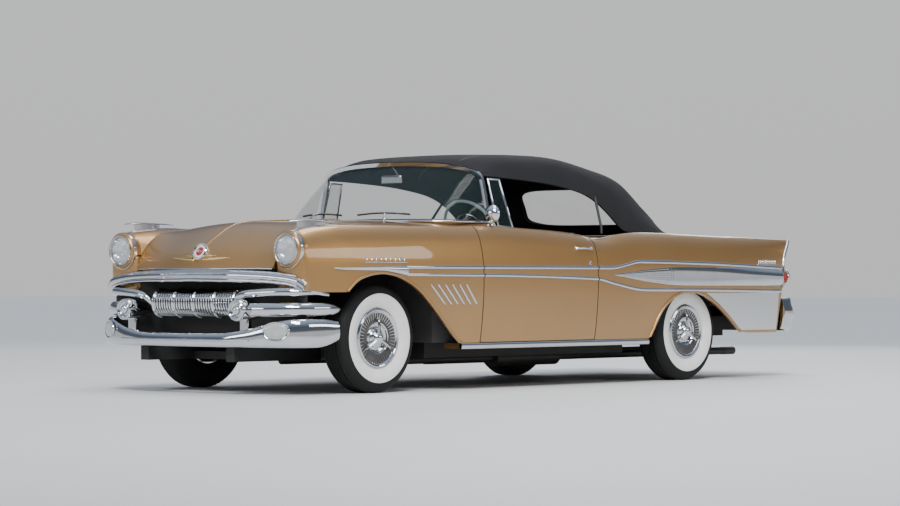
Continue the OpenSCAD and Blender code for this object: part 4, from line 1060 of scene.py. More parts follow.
class CAR_OT_front_bumper(bpy.types.Operator):
    """Front bumper with bullet guards, corner tubes, wing bands and parking lamps"""
    bl_idname = "car.front_bumper"
    bl_label = "Front bumper"

    def execute(self, context):
        rings = []
        for p, out in outward(both_ways(path_of(LOW_RUN, 60)), 1):
            foot = 0.290 + 0.045 * max(0.0, min(1.0, (p.y + 2.40) / 0.18)) ** 2
            tall = p.z - foot
            shape = [(-30, 0), (-6, -0.006), (4, 0.03), (10, 0.14), (13, 0.3), (13, 0.48), (11, 0.64),
                     (7, 0.78), (1, 0.9), (-6, 0.97), (-16, 1.0), (-30, 0.95)]
            rings.append([Vector((p.x, p.y, foot)) + out * (a * MM) + Vector((0, 0, tall * t))
                          for a, t in shape])
        bar = lofted("front_bumper_bar", rings, "body", "chrome", 60)
        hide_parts("front_bumper")
        rocker = path_of([(x, x, y - 16, 332) for x, _, y, z in LOW_BAR], 40, 0, 560)
        swept("bumper_crease", both_ways(rocker), round_ring(0.006, 10), "body", "chrome")
        tube = path_of(CORNER_TUBE, 40)
        sizes = [1.0] * 35 + [0.99, 0.96, 0.90, 0.80, 0.64, 0.35]
        tube = swept("tube", tube, round_ring(0.046, 28), "body", "chrome", sizes=sizes)
        band_section = [
            (x * MM, z * MM)
            for x, z in ((14, 20), (4, 27), (-8, 24), (-17, 14), (-20, 0), (-17, -14), (-8, -22),
                         (6, -24), (14, -16))]
        band = swept("band", path_of(WING_BAND, 44), [(-x, z) for x, z in band_section], "body",
                     "chrome",
                     sizes=[(0.55 + 0.45 * min(1, k / 14),
                             0.5 + 0.5 * min(1, k / 14)) if k < 34 else (1, 1 - 0.055 * (k - 34))
                            for k in range(45)])
        guard = turned(
            "guard",
            [(0.0, -0.130), (0.046, -0.130), (0.056, -0.080), (0.062, -0.030), (0.066, 0.010),
             (0.068, 0.040), (0.0675, 0.060), (0.064, 0.074), (0.058, 0.080), (0.051, 0.080),
             (0.047, 0.076), (0.045, 0.068), (0.036, 0.064), (0.031, 0.066), (0.027, 0.076),
             (0.020, 0.084), (0.010, 0.089), (0.0, 0.090)], (0.497, -2.622, 0.514), (0, -1, 0), "body",
            "chrome", 64)
        post = block("post", (0.462, -2.632, 0.300), (0.532, -2.585, 0.47), "body", "chrome", 0.014, 4)
        corner = one("left_bumper_corner", [tube, band, guard, post])
        twin(corner, "right_bumper_corner", "body")

        def oval(grow, depth):
            return [PARK_LAMP + Vector((dx, dx * 0.45 - depth * 0.75, dz))
                    for dx, dz in round_ring(0.070 * grow, 32, 0.052 / 0.070)]

        rim = lofted("left_park_rim",
                     [oval(1.10, -0.004), oval(1.14, 0.010), oval(1.08, 0.018), oval(1.0, 0.016),
                      oval(0.97, 0.008), oval(0.5, 0.007)], "body", "chrome", 50)
        lens = lofted("left_park_lens",
                      [oval(0.98, 0.002), oval(0.97, 0.012), oval(0.85, 0.019), oval(0.5, 0.024),
                       oval(0.06, 0.0255)], "body", "white_lens", 50)
        twin(rim, "right_park_rim", "body")
        twin(lens, "right_park_lens", "body")
        return {"FINISHED"}


REAR_PATH = [(0, 0, 2690, 320), (0.35, 380, 2684, 320), (0.55, 580, 2670, 320), (0.72, 740, 2652, 322),
             (0.84, 840, 2616, 325), (0.93, 888, 2535, 332), (1, 900, 2425, 345)]


class CAR_OT_tail(bpy.types.Operator):
    """Rear bumper, blank plate, trunk trim and reversing lamps"""
    bl_idname = "car.tail"
    bl_label = "Tail"

    def execute(self, context):
        rings = []
        for p, out in outward(both_ways(path_of(REAR_PATH, 44)), -1):
            tall = 0.571 - p.z
            shape = [(-34, 0.02), (-34, 0.98), (-20, 1.0), (-8, 0.975), (0, 0.92), (6, 0.82), (12, 0.72),
                     (20, 0.63), (24.5, 0.55), (23, 0.47), (14, 0.39), (6, 0.30), (0, 0.18), (-6, 0.07),
                     (-18, 0.0)]
            rings.append([p + out * (a * MM) + Vector((0, 0, tall * t)) for a, t in shape])
        bar = lofted("rear_bumper_bar", rings, "body", "chrome", 60)
        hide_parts("rear_bumper")
        for way, word in SIDES:
            turned(f"{word}_rear_guard",
                   [(0.0, -0.02), (0.055, -0.02), (0.058, 0.0), (0.054, 0.018), (0.042, 0.028),
                    (0.036, 0.026), (0.0, 0.026)], (way * 0.62, 2.672, 0.462), (0, 1, 0), "body",
                   "chrome", 48)
            turned(f"{word}_reverse_lens",
                   [(0.0, 0.020), (0.036, 0.020), (0.035, 0.031), (0.022, 0.036), (0.0, 0.038)],
                   (way * 0.62, 2.672, 0.462), (0, 1, 0), "body", "white_lens", 40)
        lid = SKINS["lid"]

        def behind(x, z):
            return lid.hit((x * MM, 3.3, z * MM), (0, -1, 0))

        frame_bars = []
        for low, high, flat in (
                ((-160, 700), (160, 700), 0), ((-160, 850), (160, 850), 0),
                ((-160, 700), (-160, 850), 1), ((160, 700), (160, 850), 1)):
            path = [behind(x, z)[0] + Vector((0, 0.008, 0))
                    for x, z in zip(spread(low[0], high[0], 8), spread(low[1], high[1], 8))]
            up = (1, 0, 0) if flat else (0, 0, 1)
            frame_bars.append(swept("bar", path, round_ring(0.006, 10), "trunk_lid", "chrome", up))
        one("plate_frame", frame_bars)
        columns = [(x, 706, 844) for x in spread(155, -155, 12)]
        patch("blank_plate", behind, columns, 0.005, "trunk_lid", "plate_blank", 6)
        path = [behind(x, 905 - 8 * abs(k - 12) / 12)[0] + Vector((0, 0.012, 0.002))
                for k, x in enumerate(spread(230, -230, 24))]
        swept("trunk_handle", path, round_ring(0.010, 14, 0.75), "trunk_lid", "chrome",
              sizes=[min(1, 0.35 + 0.2 * min(k, 24 - k)) for k in range(25)])
        place, normal = behind(0, 868)
        turned("trunk_lock",
               [(0.0, -0.006), (0.019, -0.006), (0.021, 0.004), (0.017, 0.009), (0.012, 0.010),
                (0.011, 0.007), (0.0, 0.007)], place, normal, "trunk_lid", "chrome", 40)
        for k in range(3):
            path = [((k - 1) * 60, y, w) for y, w in (
                (1700, 1.5), (1730, 5), (1900, 6), (2200, 6), (2400, 5), (2440, 1.5))]
            strip(f"lid_rib_{k}", lid.top, path, 5, "trunk_lid", "chrome")
        for way, word in SIDES:
            turned(f"{word}_tail_pipe",
                   [(0.021, -0.05), (0.029, -0.05), (0.0295, 0.085), (0.026, 0.087), (0.024, 0.08),
                    (0.023, -0.04), (0.021, -0.05)], (way * 0.300, 2.56, 0.1747), (0, 1, 0), "body",
                   "exhaust_steel", 40)
        return {"FINISHED"}


GLASS_BASE = [(0, 0, -1200, 1078), (0.25, 200, -1193, 1078), (0.5, 420, -1160, 1077),
              (0.66, 580, -1105, 1076), (0.76, 680, -1030, 1074), (0.85, 735, -920, 1072),
              (0.93, 754, -790, 1071), (1, 752, -672, 1071)]


class CAR_OT_windshield(bpy.types.Operator):
    """Wraparound windshield with its chrome frame, seal, wipers and inside mirror"""
    bl_idname = "car.windshield"
    bl_label = "Windshield"

    def execute(self, context):
        panel_skin("windshield_glass", "body", "window_glass", 2)
        panel_skin("windshield_frame", "body", "chrome", 2, 60.0)
        glass = Skin(["windshield_glass_skin"])
        base = both_ways([p + Vector((0, -0.004, 0.004)) for p in path_of(GLASS_BASE, 40)])
        swept("windshield_seal", base, round_ring(0.008, 12), "body", "piping")
        reveal = both_ways([p + Vector((0, -0.017, -0.002)) + Vector((0.014, 0.010, 0)) * min(1, k / 28)
                            for k, p in enumerate(path_of(GLASS_BASE, 40))])
        swept("windshield_reveal", reveal, round_ring(0.007, 12), "body", "chrome")
        for way, word in SIDES:
            def on_glass(x, z):
                return glass.hit((x * MM, -2.4, z * MM), (0, 1, 0))
            inner, outer = way * 70, way * 480
            path = [on_glass(x, 1116 + 12 * math.sin(math.pi * k / 16))[0] + Vector((0, -0.007, 0.002))
                    for k, x in enumerate(spread(inner, outer, 16))]
            section = [(-0.003, -0.006), (0.003, -0.006), (0.0015, 0.006), (-0.0015, 0.006)]
            blade = swept("blade", path, section, "body", "piping")
            line = [p + Vector((0, -0.008, 0.003)) for p in path[2:-2]]
            hold = swept("hold", line, round_ring(0.0035, 8), "body", "chrome")
            pivot = Vector((way * 0.335, -1.196, 1.088))
            arm = swept("arm",
                        smooth_path([pivot + Vector((0, 0, 0.006)),
                                     (pivot + path[9]) / 2 + Vector((0, -0.012, 0.016)),
                                     path[9] + Vector((0, -0.010, 0.004))], 12), round_ring(0.005, 10),
                        "body", "chrome", sizes=[1.2 - 0.05 * k for k in range(13)])
            cap = turned("cap",
                         [(0.0, -0.012), (0.014, -0.012), (0.015, 0.002), (0.011, 0.010), (0.0, 0.013)],
                         pivot, (0, 0, 1), "body", "chrome", 32)
            one(f"{word}_wiper", [hold, arm, cap])
            blade.name = f"{word}_wiper_blade"
        low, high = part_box("interior_mirror")
        shell = block("mirror_shell", (low.x, low.y + 0.002, 1.334), (high.x, low.y + 0.014, 1.390),
                      "body", "chrome", 0.006, 4)
        swept("mirror_stem",
              smooth_path([(0, -0.700, 1.384), (0, -0.722, 1.412), (0, -0.758, 1.443)], 12),
              round_ring(0.006, 12), "body", "chrome")
        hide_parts("interior_mirror")
        return {"FINISHED"}


CARD_X = 0.780


class CAR_OT_doors(bpy.types.Operator):
    """Vent windows, handles, locks, mirror and inner trim of the doors"""
    bl_idname = "car.doors"
    bl_label = "Door fittings"

    def execute(self, context):
        side = SKINS["side"].side
        corners = [Vector(c) * MM
                   for c in ((796, -612, 1045.3), (796, -470, 1037.5), (706, -500, 1352),
                             (706, -612, 1352))]
        bars = []
        for k in range(4):
            a, b = corners[k], corners[(k + 1) % 4]
            w = (b - a).normalized() * 0.006
            bars.append(swept(f"bar_{k}", [a - w, a, (a + b) / 2, b, b + w], round_ring(0.0072, 16),
                              "left_door", "chrome", (1, 0, 0.24), [0.6, 1, 1, 1, 0.6]))
        vent_frame = one("left_vent_frame", bars)
        pane = solid("left_vent_pane", [c + Vector((d, 0, 0)) for d in (-0.002, 0.002) for c in corners],
                     [(0, 1, 2, 3), (4, 5, 6, 7), (0, 1, 5, 4), (1, 2, 6, 5), (2, 3, 7, 6),
                      (3, 0, 4, 7)], "left_door", "window_glass")
        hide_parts("left_vent_window")
        other = twin(vent_frame, "right_vent_frame", "right_door")
        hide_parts("right_vent_window")
        twin(pane, "right_vent_pane", "right_door")
        place = [side(y, 905)[0] for y in (30, 110, 190)]
        grip = swept("grip",
                     smooth_path([place[0] + Vector((0.004, -0.006, 0)),
                                  place[0] + Vector((0.020, 0.012, 0.001)),
                                  place[1] + Vector((0.030, 0, 0.002)),
                                  place[2] + Vector((0.020, -0.012, 0.001)),
                                  place[2] + Vector((0.004, 0.006, 0))], 28),
                     round_ring(0.0065, 14, 1.1), "left_door", "chrome",
                     sizes=[0.8 + 0.25 * math.sin(math.pi * k / 28) for k in range(29)])
        pads = []
        for y in (30, 190):
            spot, normal = side(y, 905)
            pads.append(turned(f"pad_{y}",
                               [(0.0, -0.002), (0.011, -0.002), (0.012, 0.004), (0.009, 0.008),
                                (0.0, 0.009)], spot, normal, "left_door", "chrome", 32))
        spot, normal = side(157, 811)
        pads.append(turned("lock",
                           [(0.0, -0.002), (0.013, -0.002), (0.014, 0.004), (0.010, 0.007),
                            (0.004, 0.007), (0.003, 0.004), (0.0, 0.004)], spot, normal, "left_door",
                           "chrome", 32))
        handle = one("left_door_handle", [grip, *pads])
        twin(handle, "right_door_handle", "right_door")
        foot = Vector((0.836, -0.740, 1.0477))
        stalk = turned(
            "stalk",
            [(0.0, 0.0), (0.024, 0.0), (0.023, 0.006), (0.012, 0.014), (0.0085, 0.03), (0.009, 0.05),
             (0.0, 0.05)], foot, (0, 0, 1), "left_door", "chrome", 32)
        centre = foot + Vector((0.010, -0.008, 0.076))
        cup = turned("cup",
                     [(0.0, -0.020), (0.018, -0.018), (0.036, -0.011), (0.050, 0.002), (0.056, 0.016),
                      (0.057, 0.025), (0.054, 0.027), (0.052, 0.022), (0.0, 0.020)], centre, (0, 1, 0),
                     "left_door", "chrome", 56)
        mirror = one("left_door_mirror", [stalk, cup])
        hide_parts("door_mirror")
        card = block("card", (CARD_X - 0.007, -0.800, 0.42), (CARD_X, 0.200, 0.955), "left_door",
                     "door_trim", 0.003)
        insert = block(
            "insert", (CARD_X - 0.011, -0.74, 0.62), (CARD_X - 0.006, 0.14, 0.86), "left_door",
            "seat_insert", 0.004, 3)
        rest = block("rest", (CARD_X - 0.060, -0.42, 0.665), (CARD_X - 0.004, 0.02, 0.715), "left_door",
                     "seat_vinyl", 0.018, 5)
        crank = turned(
            "crank", [(0.0, 0.0), (0.016, 0.0), (0.016, 0.012), (0.010, 0.018), (0.0, 0.018)],
            (CARD_X - 0.007, -0.52, 0.74), (-1, 0, 0), "left_door", "chrome", 28)
        lever = block("lever", (CARD_X - 0.024, -0.60, 0.734), (CARD_X - 0.018, -0.52, 0.746),
                      "left_door", "chrome", 0.003)
        knob = turned("knob", [(0.0, 0.0), (0.007, 0.0), (0.011, 0.010), (0.008, 0.022), (0.0, 0.024)],
                      (CARD_X - 0.022, -0.598, 0.74), (-1, 0, 0), "left_door", "wheel_ivory", 24)
        for piece, name in (
                (card, "door_card"), (insert, "door_card_insert"), (rest, "armrest"),
                (one("left_winder", [crank, lever]), "winder"), (knob, "winder_knob")):
            piece.name = "left_" + name
            twin(piece, "right_" + name, "right_door")
        return {"FINISHED"}


WINDOW_POINTS = 72


class CAR_OT_soft_top(bpy.types.Operator):
    """The raised cloth top with its seams, back window, binding and snaps"""
    bl_idname = "car.soft_top"
    bl_label = "Soft top"

    def execute(self, context):
        cloth = panel_skin("soft_top", "body", "top_cloth", 2, 50.0)
        top = Skin(["soft_top_skin"])
        seams = []
        for x in (-486, 486):
            seams.append(strip(f"seam_{x}", top.top,
                               [(x, y, w)
                                for y, w in ((-640, 2), (-620, 7),
                                             *[(-560 + 60 * k, 7) for k in range(27)], (1060, 7),
                                             (1100, 2))], 2.6, "body", "piping"))
        for y in (-470, 640):
            seams.append(strip(f"cross_{y}", top.top,
                               [(x, y, w)
                                for x, w in ((-470, 2), (-455, 5),
                                             *[(-400 + 80 * k, 5) for k in range(11)], (455, 5),
                                             (470, 2))], 2.0, "body", "piping"))
        seams = one("top_seams", seams)

        def back(x, z):
            return top.hit((x * MM, 2.6, z * MM), (0, -1, 0))

        edge = []
        for k in range(WINDOW_POINTS):
            a = 2 * math.pi * k / WINDOW_POINTS
            wide, tall = (math.copysign(abs(f) ** 0.35, f) for f in (math.cos(a), math.sin(a)))
            edge.append(((525 - 60 * tall) * wide, 1214 + 129 * tall))

        def crossings(x):
            found = []
            for (x0, z0), (x1, z1) in zip(edge, edge[1:] + edge[:1]):
                if (x0 - x) * (x1 - x) < 0:
                    found.append(z0 + (z1 - z0) * (x - x0) / (x1 - x0))
            return x, min(found), max(found)

        n = WINDOW_POINTS
        cutter = solid("window_cutter", [(x * MM, y, z * MM) for y in (0.80, 1.75) for x, z in edge],
                       [tuple(range(n)), tuple(range(n, 2 * n))]
                       + [(k, (k + 1) % n, n + (k + 1) % n, n + k) for k in range(n)],
                       "body", "top_cloth")
        hole = cloth.modifiers.new("hole", "BOOLEAN")
        hole.operation, hole.solver, hole.object = "DIFFERENCE", "EXACT", cutter
        apply_all(cloth)
        bpy.data.objects.remove(cutter)
        join_up(cloth, "body", "top_cloth", 38.0)
        reach = max(x for x, _ in edge) - 2.1
        window = patch(
            "top_back_window", back, [crossings(reach * (1 - k / 18.07)) for k in range(37)], 0.0025,
            "body", "back_window", 8)
        rings = []
        for k, (x, z) in enumerate(edge):
            place, normal = back(x, z)
            after, _ = back(*edge[(k + 1) % n])
            way = (after - place).normalized()
            side = way.cross(normal).normalized()
            rings.append([place + side * (a * 0.011) + normal * (h * 0.004) for a, h in
                          ((-1, -0.4), (-0.9, 0.6), (0, 1.0), (0.9, 0.6), (1, -0.4))])
        rings.append(rings[0])
        count = len(rings[0])
        faces = [(i * count + j, i * count + (j + 1) % count, (i + 1) * count + (j + 1) % count,
                  (i + 1) * count + j) for i in range(n) for j in range(count)]
        welt = solid("top_window_welt", [p for r in rings for p in r], faces, "body", "piping")
        snaps = []
        for k in range(-8, 9):
            x = 60 * k
            place, normal = back(x, 1044 if abs(x) < 420 else 1040)
            snaps.append(turned(f"snap_{k}",
                                [(0.0, -0.001), (0.008, -0.001), (0.0085, 0.003), (0.005, 0.006),
                                 (0.0, 0.0065)], place, normal, "body", "chrome", 16))
        one("top_snaps", snaps)
        for way, word in SIDES:
            high = top.hit((way * 1.3, 0.535, 1.275), (-way, 0, 0))[0]
            post = [Vector((way * 0.800, 0.455, 1.010)), Vector((way * 0.798, 0.458, 1.05)),
                    high - Vector((way * 0.012, 0, 0))]
            section = round_ring(0.009, 12)
            swept(f"{word}_quarter_window_post", post, section, "body", "piping", (0, 1, 0))
        header = Skin(["windshield_frame_skin", "soft_top_skin"])

        def found(x, y):
            place, _, _, _ = header.tree.ray_cast(Vector((x * MM, y * MM, 1.9)), Vector((0, 0, -1)))
            return place is not None and place.z > 1.33

        columns = []
        for k in range(57):
            x = 700 - 25 * k
            ys = [y for y in range(-905, -520, 4) if found(x, y)]
            if ys and ys[-1] - ys[0] > 100:
                columns.append((x, ys[0] + 10, min(ys[0] + 95, ys[-1] - 4)))

        def over(x, y):
            if found(x, y):
                return header.top(x, y)
            steps = [next(way * d for d in range(1, 60) if found(x, y + way * d)) for way in (-1, 1)]
            before, after = (header.top(x, y + step) for step in steps)
            return (before[0] + after[0]) / 2, (before[1] + after[1]).normalized()

        patch("top_front_binding", over, columns, 0.0035, "body", "top_cloth", 8)
        dressed("top_bows", "chassis_black")
        return {"FINISHED"}


WHEELS = (("front_left_wheel", "front_left", 0.7495, -1.8, LEFT),
          ("front_right_wheel", "front_right", -0.7495, -1.8, RIGHT),
          ("rear_left_wheel", "rear_left", 0.7545, 1.35, LEFT),
          ("rear_right_wheel", "rear_right", -0.7545, 1.35, RIGHT))
HUB_HEIGHT = 0.338


def tyre_mesh():
    """One tyre about the X axis, its outer side towards +X: rubber, whitewall and tread."""
    wall = [(0.1842, -0.074), (0.190, -0.082), (0.202, -0.0875), (0.226, -0.098), (0.252, -0.1035),
            (0.276, -0.1015), (0.298, -0.0965), (0.314, -0.089), (0.324, -0.0815), (0.3325, -0.068)]
    tread = []
    for k in range(5):
        middle = -0.0508 + 0.0254 * k
        tread += [(0.3345 if k in (0, 4) else 0.3372, middle - 0.0106), (0.3378, middle - 0.0085),
                  (0.338, middle), (0.3378, middle + 0.0085),
                  (0.3345 if k in (0, 4) else 0.3372, middle + 0.0106)]
        if k < 4:
            tread += [(0.3290, middle + 0.0112), (0.3290, middle + 0.0142)]
    profile = wall + tread + [(r, -x) for r, x in reversed(wall)] + [(0.1835, 0.060), (0.1835, -0.060)]
    steps = 180
    count = len(profile)
    points, faces, kinds = [], [], []
    for i in range(steps):
        a = 2 * math.pi * i / steps
        for j, (r, x) in enumerate(profile):
            cut = 0.0045 if i % 3 == 0 and (9 <= j <= 11 or 36 < j <= 39) else 0.0
            shift = 0.0022 * (1 if (i % 4) < 2 else -1) if 10 <= j <= 38 and r < 0.336 else 0.0
            points.append(Vector((x + shift, (r - cut) * math.cos(a), (r - cut) * math.sin(a))))
    for i in range(steps):
        for j in range(count):
            n, m = (i + 1) % steps, (j + 1) % count
            faces.append((i * count + j, i * count + m, n * count + m, n * count + j))
            r, x = profile[j]
            r2, x2 = profile[m]
            white = x > 0.05 and x2 > 0.05 and 0.1950 < (r + r2) / 2 < 0.265
            kinds.append(1 if white else 0)
    mesh = bpy.data.meshes.new("tyre")
    mesh.from_pydata([tuple(p) for p in points], [], faces)
    mesh.polygons.foreach_set("material_index", kinds)
    shape = bmesh.new()
    shape.from_mesh(mesh)
    bmesh.ops.recalc_face_normals(shape, faces=shape.faces)
    shape.to_mesh(mesh)
    shape.free()
    return mesh


def cover_pieces():
    """Wheel cover and rim about the X axis, the outer side towards +X."""
    out = (1, 0, 0)
    zero = (0, 0, 0)
    rim = turned("rim",
                 [(0.1825, -0.078), (0.1825, 0.072), (0.190, 0.0805), (0.1905, 0.0845), (0.186, 0.0875),
                  (0.180, 0.084), (0.172, 0.074), (0.166, 0.070), (0.150, 0.060), (0.060, 0.050),
                  (0.024, 0.030), (0.024, -0.005), (0.05, 0.002), (0.13, 0.022), (0.168, 0.030),
                  (0.170, -0.078), (0.1825, -0.078)], zero, out, "body", "chrome", 96)
    cover = turned(
        "cover",
        [(0.176, 0.0745), (0.1815, 0.084), (0.180, 0.0895), (0.174, 0.092), (0.168, 0.0905),
         (0.164, 0.086), (0.158, 0.0825), (0.118, 0.0745), (0.110, 0.0755), (0.104, 0.080),
         (0.098, 0.0825), (0.092, 0.080), (0.086, 0.070), (0.074, 0.0660), (0.064, 0.0700),
         (0.060, 0.079), (0.054, 0.0835), (0.044, 0.087), (0.030, 0.0925), (0.016, 0.097), (0.0, 0.0985),
         (0.0, 0.06), (0.16, 0.068), (0.176, 0.0745)], zero, out, "body", "chrome", 96)
    # The recess under the fins, between radius 0.100 and 0.160, takes the dark second finish: painted
    # shade, so the chrome fins stand out against it.
    coat(cover, "chrome", "cast_iron")
    mark_faces(cover, lambda at, _: 0.100 < math.hypot(at.y, at.z) < 0.160 and at.x > 0.0735)
    fins = []
    deselect()
    bpy.ops.mesh.primitive_cube_add(size=1, location=(0, 0, 0))
    seed = bpy.context.object
    seed.scale = (0.008, 0.0042, 0.040)
    settle(seed)
    for v in seed.data.vertices:
        v.co.y *= 0.55 if v.co.z < 0 else 1.0
        v.co.x += v.co.z * 0.20 - 0.001 + (-0.003 if v.co.x > 0 and abs(v.co.y) > 0 else 0)
    for k in range(44):
        a = 2 * math.pi * k / 44
        fin = seed.copy()
        fin.data = seed.data.copy()
        bpy.context.scene.collection.objects.link(fin)
        fin.data.transform(Matrix.Rotation(a, 4, "X") @ Matrix.Translation((0.0815, 0, 0.138)))
        fins.append(fin)
    bpy.data.objects.remove(seed)
    bars = []
    for k in range(3):
        a = math.radians(120 * k)
        path = [Vector((x, 0, r))
                for r, x in ((0.0, 0.094), (0.03, 0.098), (0.07, 0.098), (0.110, 0.094), (0.132, 0.086))]
        bar = swept("bar", smooth_path(path, 14),
                    [(-0.017, -0.004), (-0.013, 0.004), (0, 0.0085), (0.013, 0.004), (0.017, -0.004),
                     (0, -0.008)], "body", "chrome", (1, 0, 0),
                    sizes=[1.0 - 0.045 * j for j in range(15)])
        bar.data.transform(Matrix.Rotation(a, 4, "X"))
        bars.append(bar)
    boss = turned("boss",
                  [(0.0, 0.09), (0.036, 0.09), (0.038, 0.098), (0.033, 0.106), (0.022, 0.112),
                   (0.010, 0.117), (0.0, 0.118)], zero, out, "body", "chrome", 48)
    for f in fins:
        coat(f, "chrome")
        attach(f, "body")
    return one("cover_seed", [rim, cover, boss, *bars, *fins])


class CAR_OT_wheels(bpy.types.Operator):
    """Whitewall tyres and ribbed wheel covers with three-bar spinners"""
    bl_idname = "car.wheels"
    bl_label = "Wheels"

    def execute(self, context):
        rubber = tyre_mesh()
        cover = cover_pieces()
        for body, word, x, y, side in WHEELS:
            turn = Matrix.Translation((x, y, HUB_HEIGHT)) @ (
                Matrix.Identity(4) if side == LEFT else MIRROR)
            tyre = bpy.data.objects.new(f"{word}_whitewall_tyre", rubber.copy())
            disc = bpy.data.objects.new(f"{word}_wheel_cover", cover.data.copy())
            # A wheel cover's second finish is painted shade in its recess.
            for obj, names, node in (
                    (tyre, ("rubber", "whitewall"), f"{word}_tyre"),
                    (disc, ("chrome", "cast_iron"), f"{word}_wheel")):
                bpy.context.scene.collection.objects.link(obj)
                obj.data.transform(turn)
                if side == RIGHT:
                    obj.data.flip_normals()
                join_up(obj, body, names, 32)
                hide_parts(node)
        bpy.data.objects.remove(cover)
        for node in ("left_knuckle", "right_knuckle", "front_suspension", "rear_axle", "leaf_springs"):
            dressed(node, "cast_iron")
        return {"FINISHED"}


def cushion(name, low, high, rake, swell, voxel=0.014):
    """A pad between two corners, swelled by at most swell and leaning back by rake over its height."""
    deselect()
    low, high = Vector(low), Vector(high)
    bpy.ops.mesh.primitive_cube_add(size=1, location=(low + high) / 2)
    obj = bpy.context.object
    obj.name = name
    obj.scale = high - low
    settle(obj)
    round_off = obj.modifiers.new("round", "BEVEL")
    round_off.width, round_off.segments = min(high - low) * 0.30, 4
    apply_all(obj)
    mesh_again = obj.modifiers.new("even", "REMESH")
    mesh_again.mode, mesh_again.voxel_size = "VOXEL", voxel
    apply_all(obj)
    for v in obj.data.vertices:
        v.co.y += rake * (v.co.z - low.z) / (high.z - low.z)
    start = [v.co.copy() for v in obj.data.vertices]
    soft = obj.modifiers.new("fill", "CLOTH")
    soft.settings.use_pressure = True
    soft.settings.uniform_pressure_force = 4.0
    soft.settings.effector_weights.gravity = 0.0
    soft.settings.quality = 5
    soft.point_cache.frame_start, soft.point_cache.frame_end = 1, 20
    scene = bpy.context.scene
    for k in range(1, 21):
        scene.frame_set(k)
    apply_all(obj)
    scene.frame_set(1)
    for v, was in zip(obj.data.vertices, start):
        move = v.co - was
        if move.length > swell:
            v.co = was + move.normalized() * swell
    return obj


def pleated(obj, pitch, low_x, high_x, depth, spare, spots=()):
    """Sewn channels across a pad between two places, made after it has swelled."""
    def quilted(at, normal):
        return low_x <= at.x <= high_x and spare(at, normal)

    smooth = obj.modifiers.new("even", "SUBSURF")
    smooth.levels = smooth.render_levels = 1
    apply_all(obj)
    normals = [v.normal.copy() for v in obj.data.vertices]
    for v, n in zip(obj.data.vertices, normals):
        if quilted(v.co, n):
            phase = (v.co.x - low_x) / pitch
            off = abs(phase - round(phase)) * pitch
            v.co -= n * (depth * math.exp(-(off / 0.006) ** 2))
        for edge in spots:
            v.co -= n * (depth * 1.4 * math.exp(-((v.co.x - edge) / 0.008) ** 2))
    mark_faces(obj, quilted)
    return obj


class CAR_OT_seats(bpy.types.Operator):
    """Padded front and rear bench seats with sewn channels"""
    bl_idname = "car.seats"
    bl_label = "Seats"

    def execute(self, context):
        def upward(co, n):
            return n.z > 0.5

        def forward(co, n):
            return n.y < -0.4

        for name, low, high, rake, face, node in (
                ("front_cushion", (-0.655, -0.465, 0.452), (0.655, 0.020, 0.536), 0.0, upward,
                 "front_seat"),
                ("left_front_back", (0.010, 0.072, 0.525), (0.655, 0.128, 0.905), 0.040, forward, None),
                ("right_front_back", (-0.655, 0.072, 0.525), (-0.010, 0.128, 0.905), 0.040, forward,
                 None),
                ("rear_cushion", (-0.545, 0.450, 0.440), (0.545, 0.755, 0.502), 0.0, upward,
                 "rear_seat"),
                ("rear_back", (-0.545, 0.812, 0.515), (0.545, 0.868, 0.835), 0.020, forward, None)):
            pad = cushion(name, low, high, rake, context.scene.convertible.cushion_swell)
            wide = high[0] - low[0]
            pleated(pad, 0.052, low[0] + wide * 0.10, high[0] - wide * 0.10, 0.006, face,
                    (low[0] + wide * 0.10, high[0] - wide * 0.10))
            join_up(pad, "body", ("seat_vinyl", "seat_insert"), 0)
            pick(pad)
            bpy.ops.object.shade_smooth()
            if node:
                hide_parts(node)
            if face is forward:
                path = [Vector((x, (low[1] + high[1]) / 2 + rake, high[2] + 0.010))
                        for x in spread(low[0] + 0.03, high[0] - 0.03, 20)]
                swept(f"{name}_welt", path, round_ring(0.005, 10), "body", "seat_vinyl")
        for x in (-0.44, 0.44):
            word = "left" if x > 0 else "right"
            block(f"{word}_seat_riser", (x - 0.03, -0.40, 0.302), (x + 0.03, -0.02, 0.448), "body",
                  "chassis_black", 0.006)
        block("front_seat_base", (-0.64, -0.44, 0.432), (0.64, 0.03, 0.462), "body", "chassis_black",
              0.008, 3)
        block("front_seat_shell", (-0.63, 0.130, 0.44), (0.63, 0.168, 0.86), "body", "door_trim", 0.014,
              4)
        block("rear_seat_base", (-0.53, 0.47, 0.431), (0.53, 0.76, 0.452), "body", "chassis_black",
              0.006, 3)
        return {"FINISHED"}


HUB = Vector((0.380, -0.400, 1.030))
SLOPE = math.radians(28)
COLUMN = Vector((0, math.cos(SLOPE), math.sin(SLOPE)))


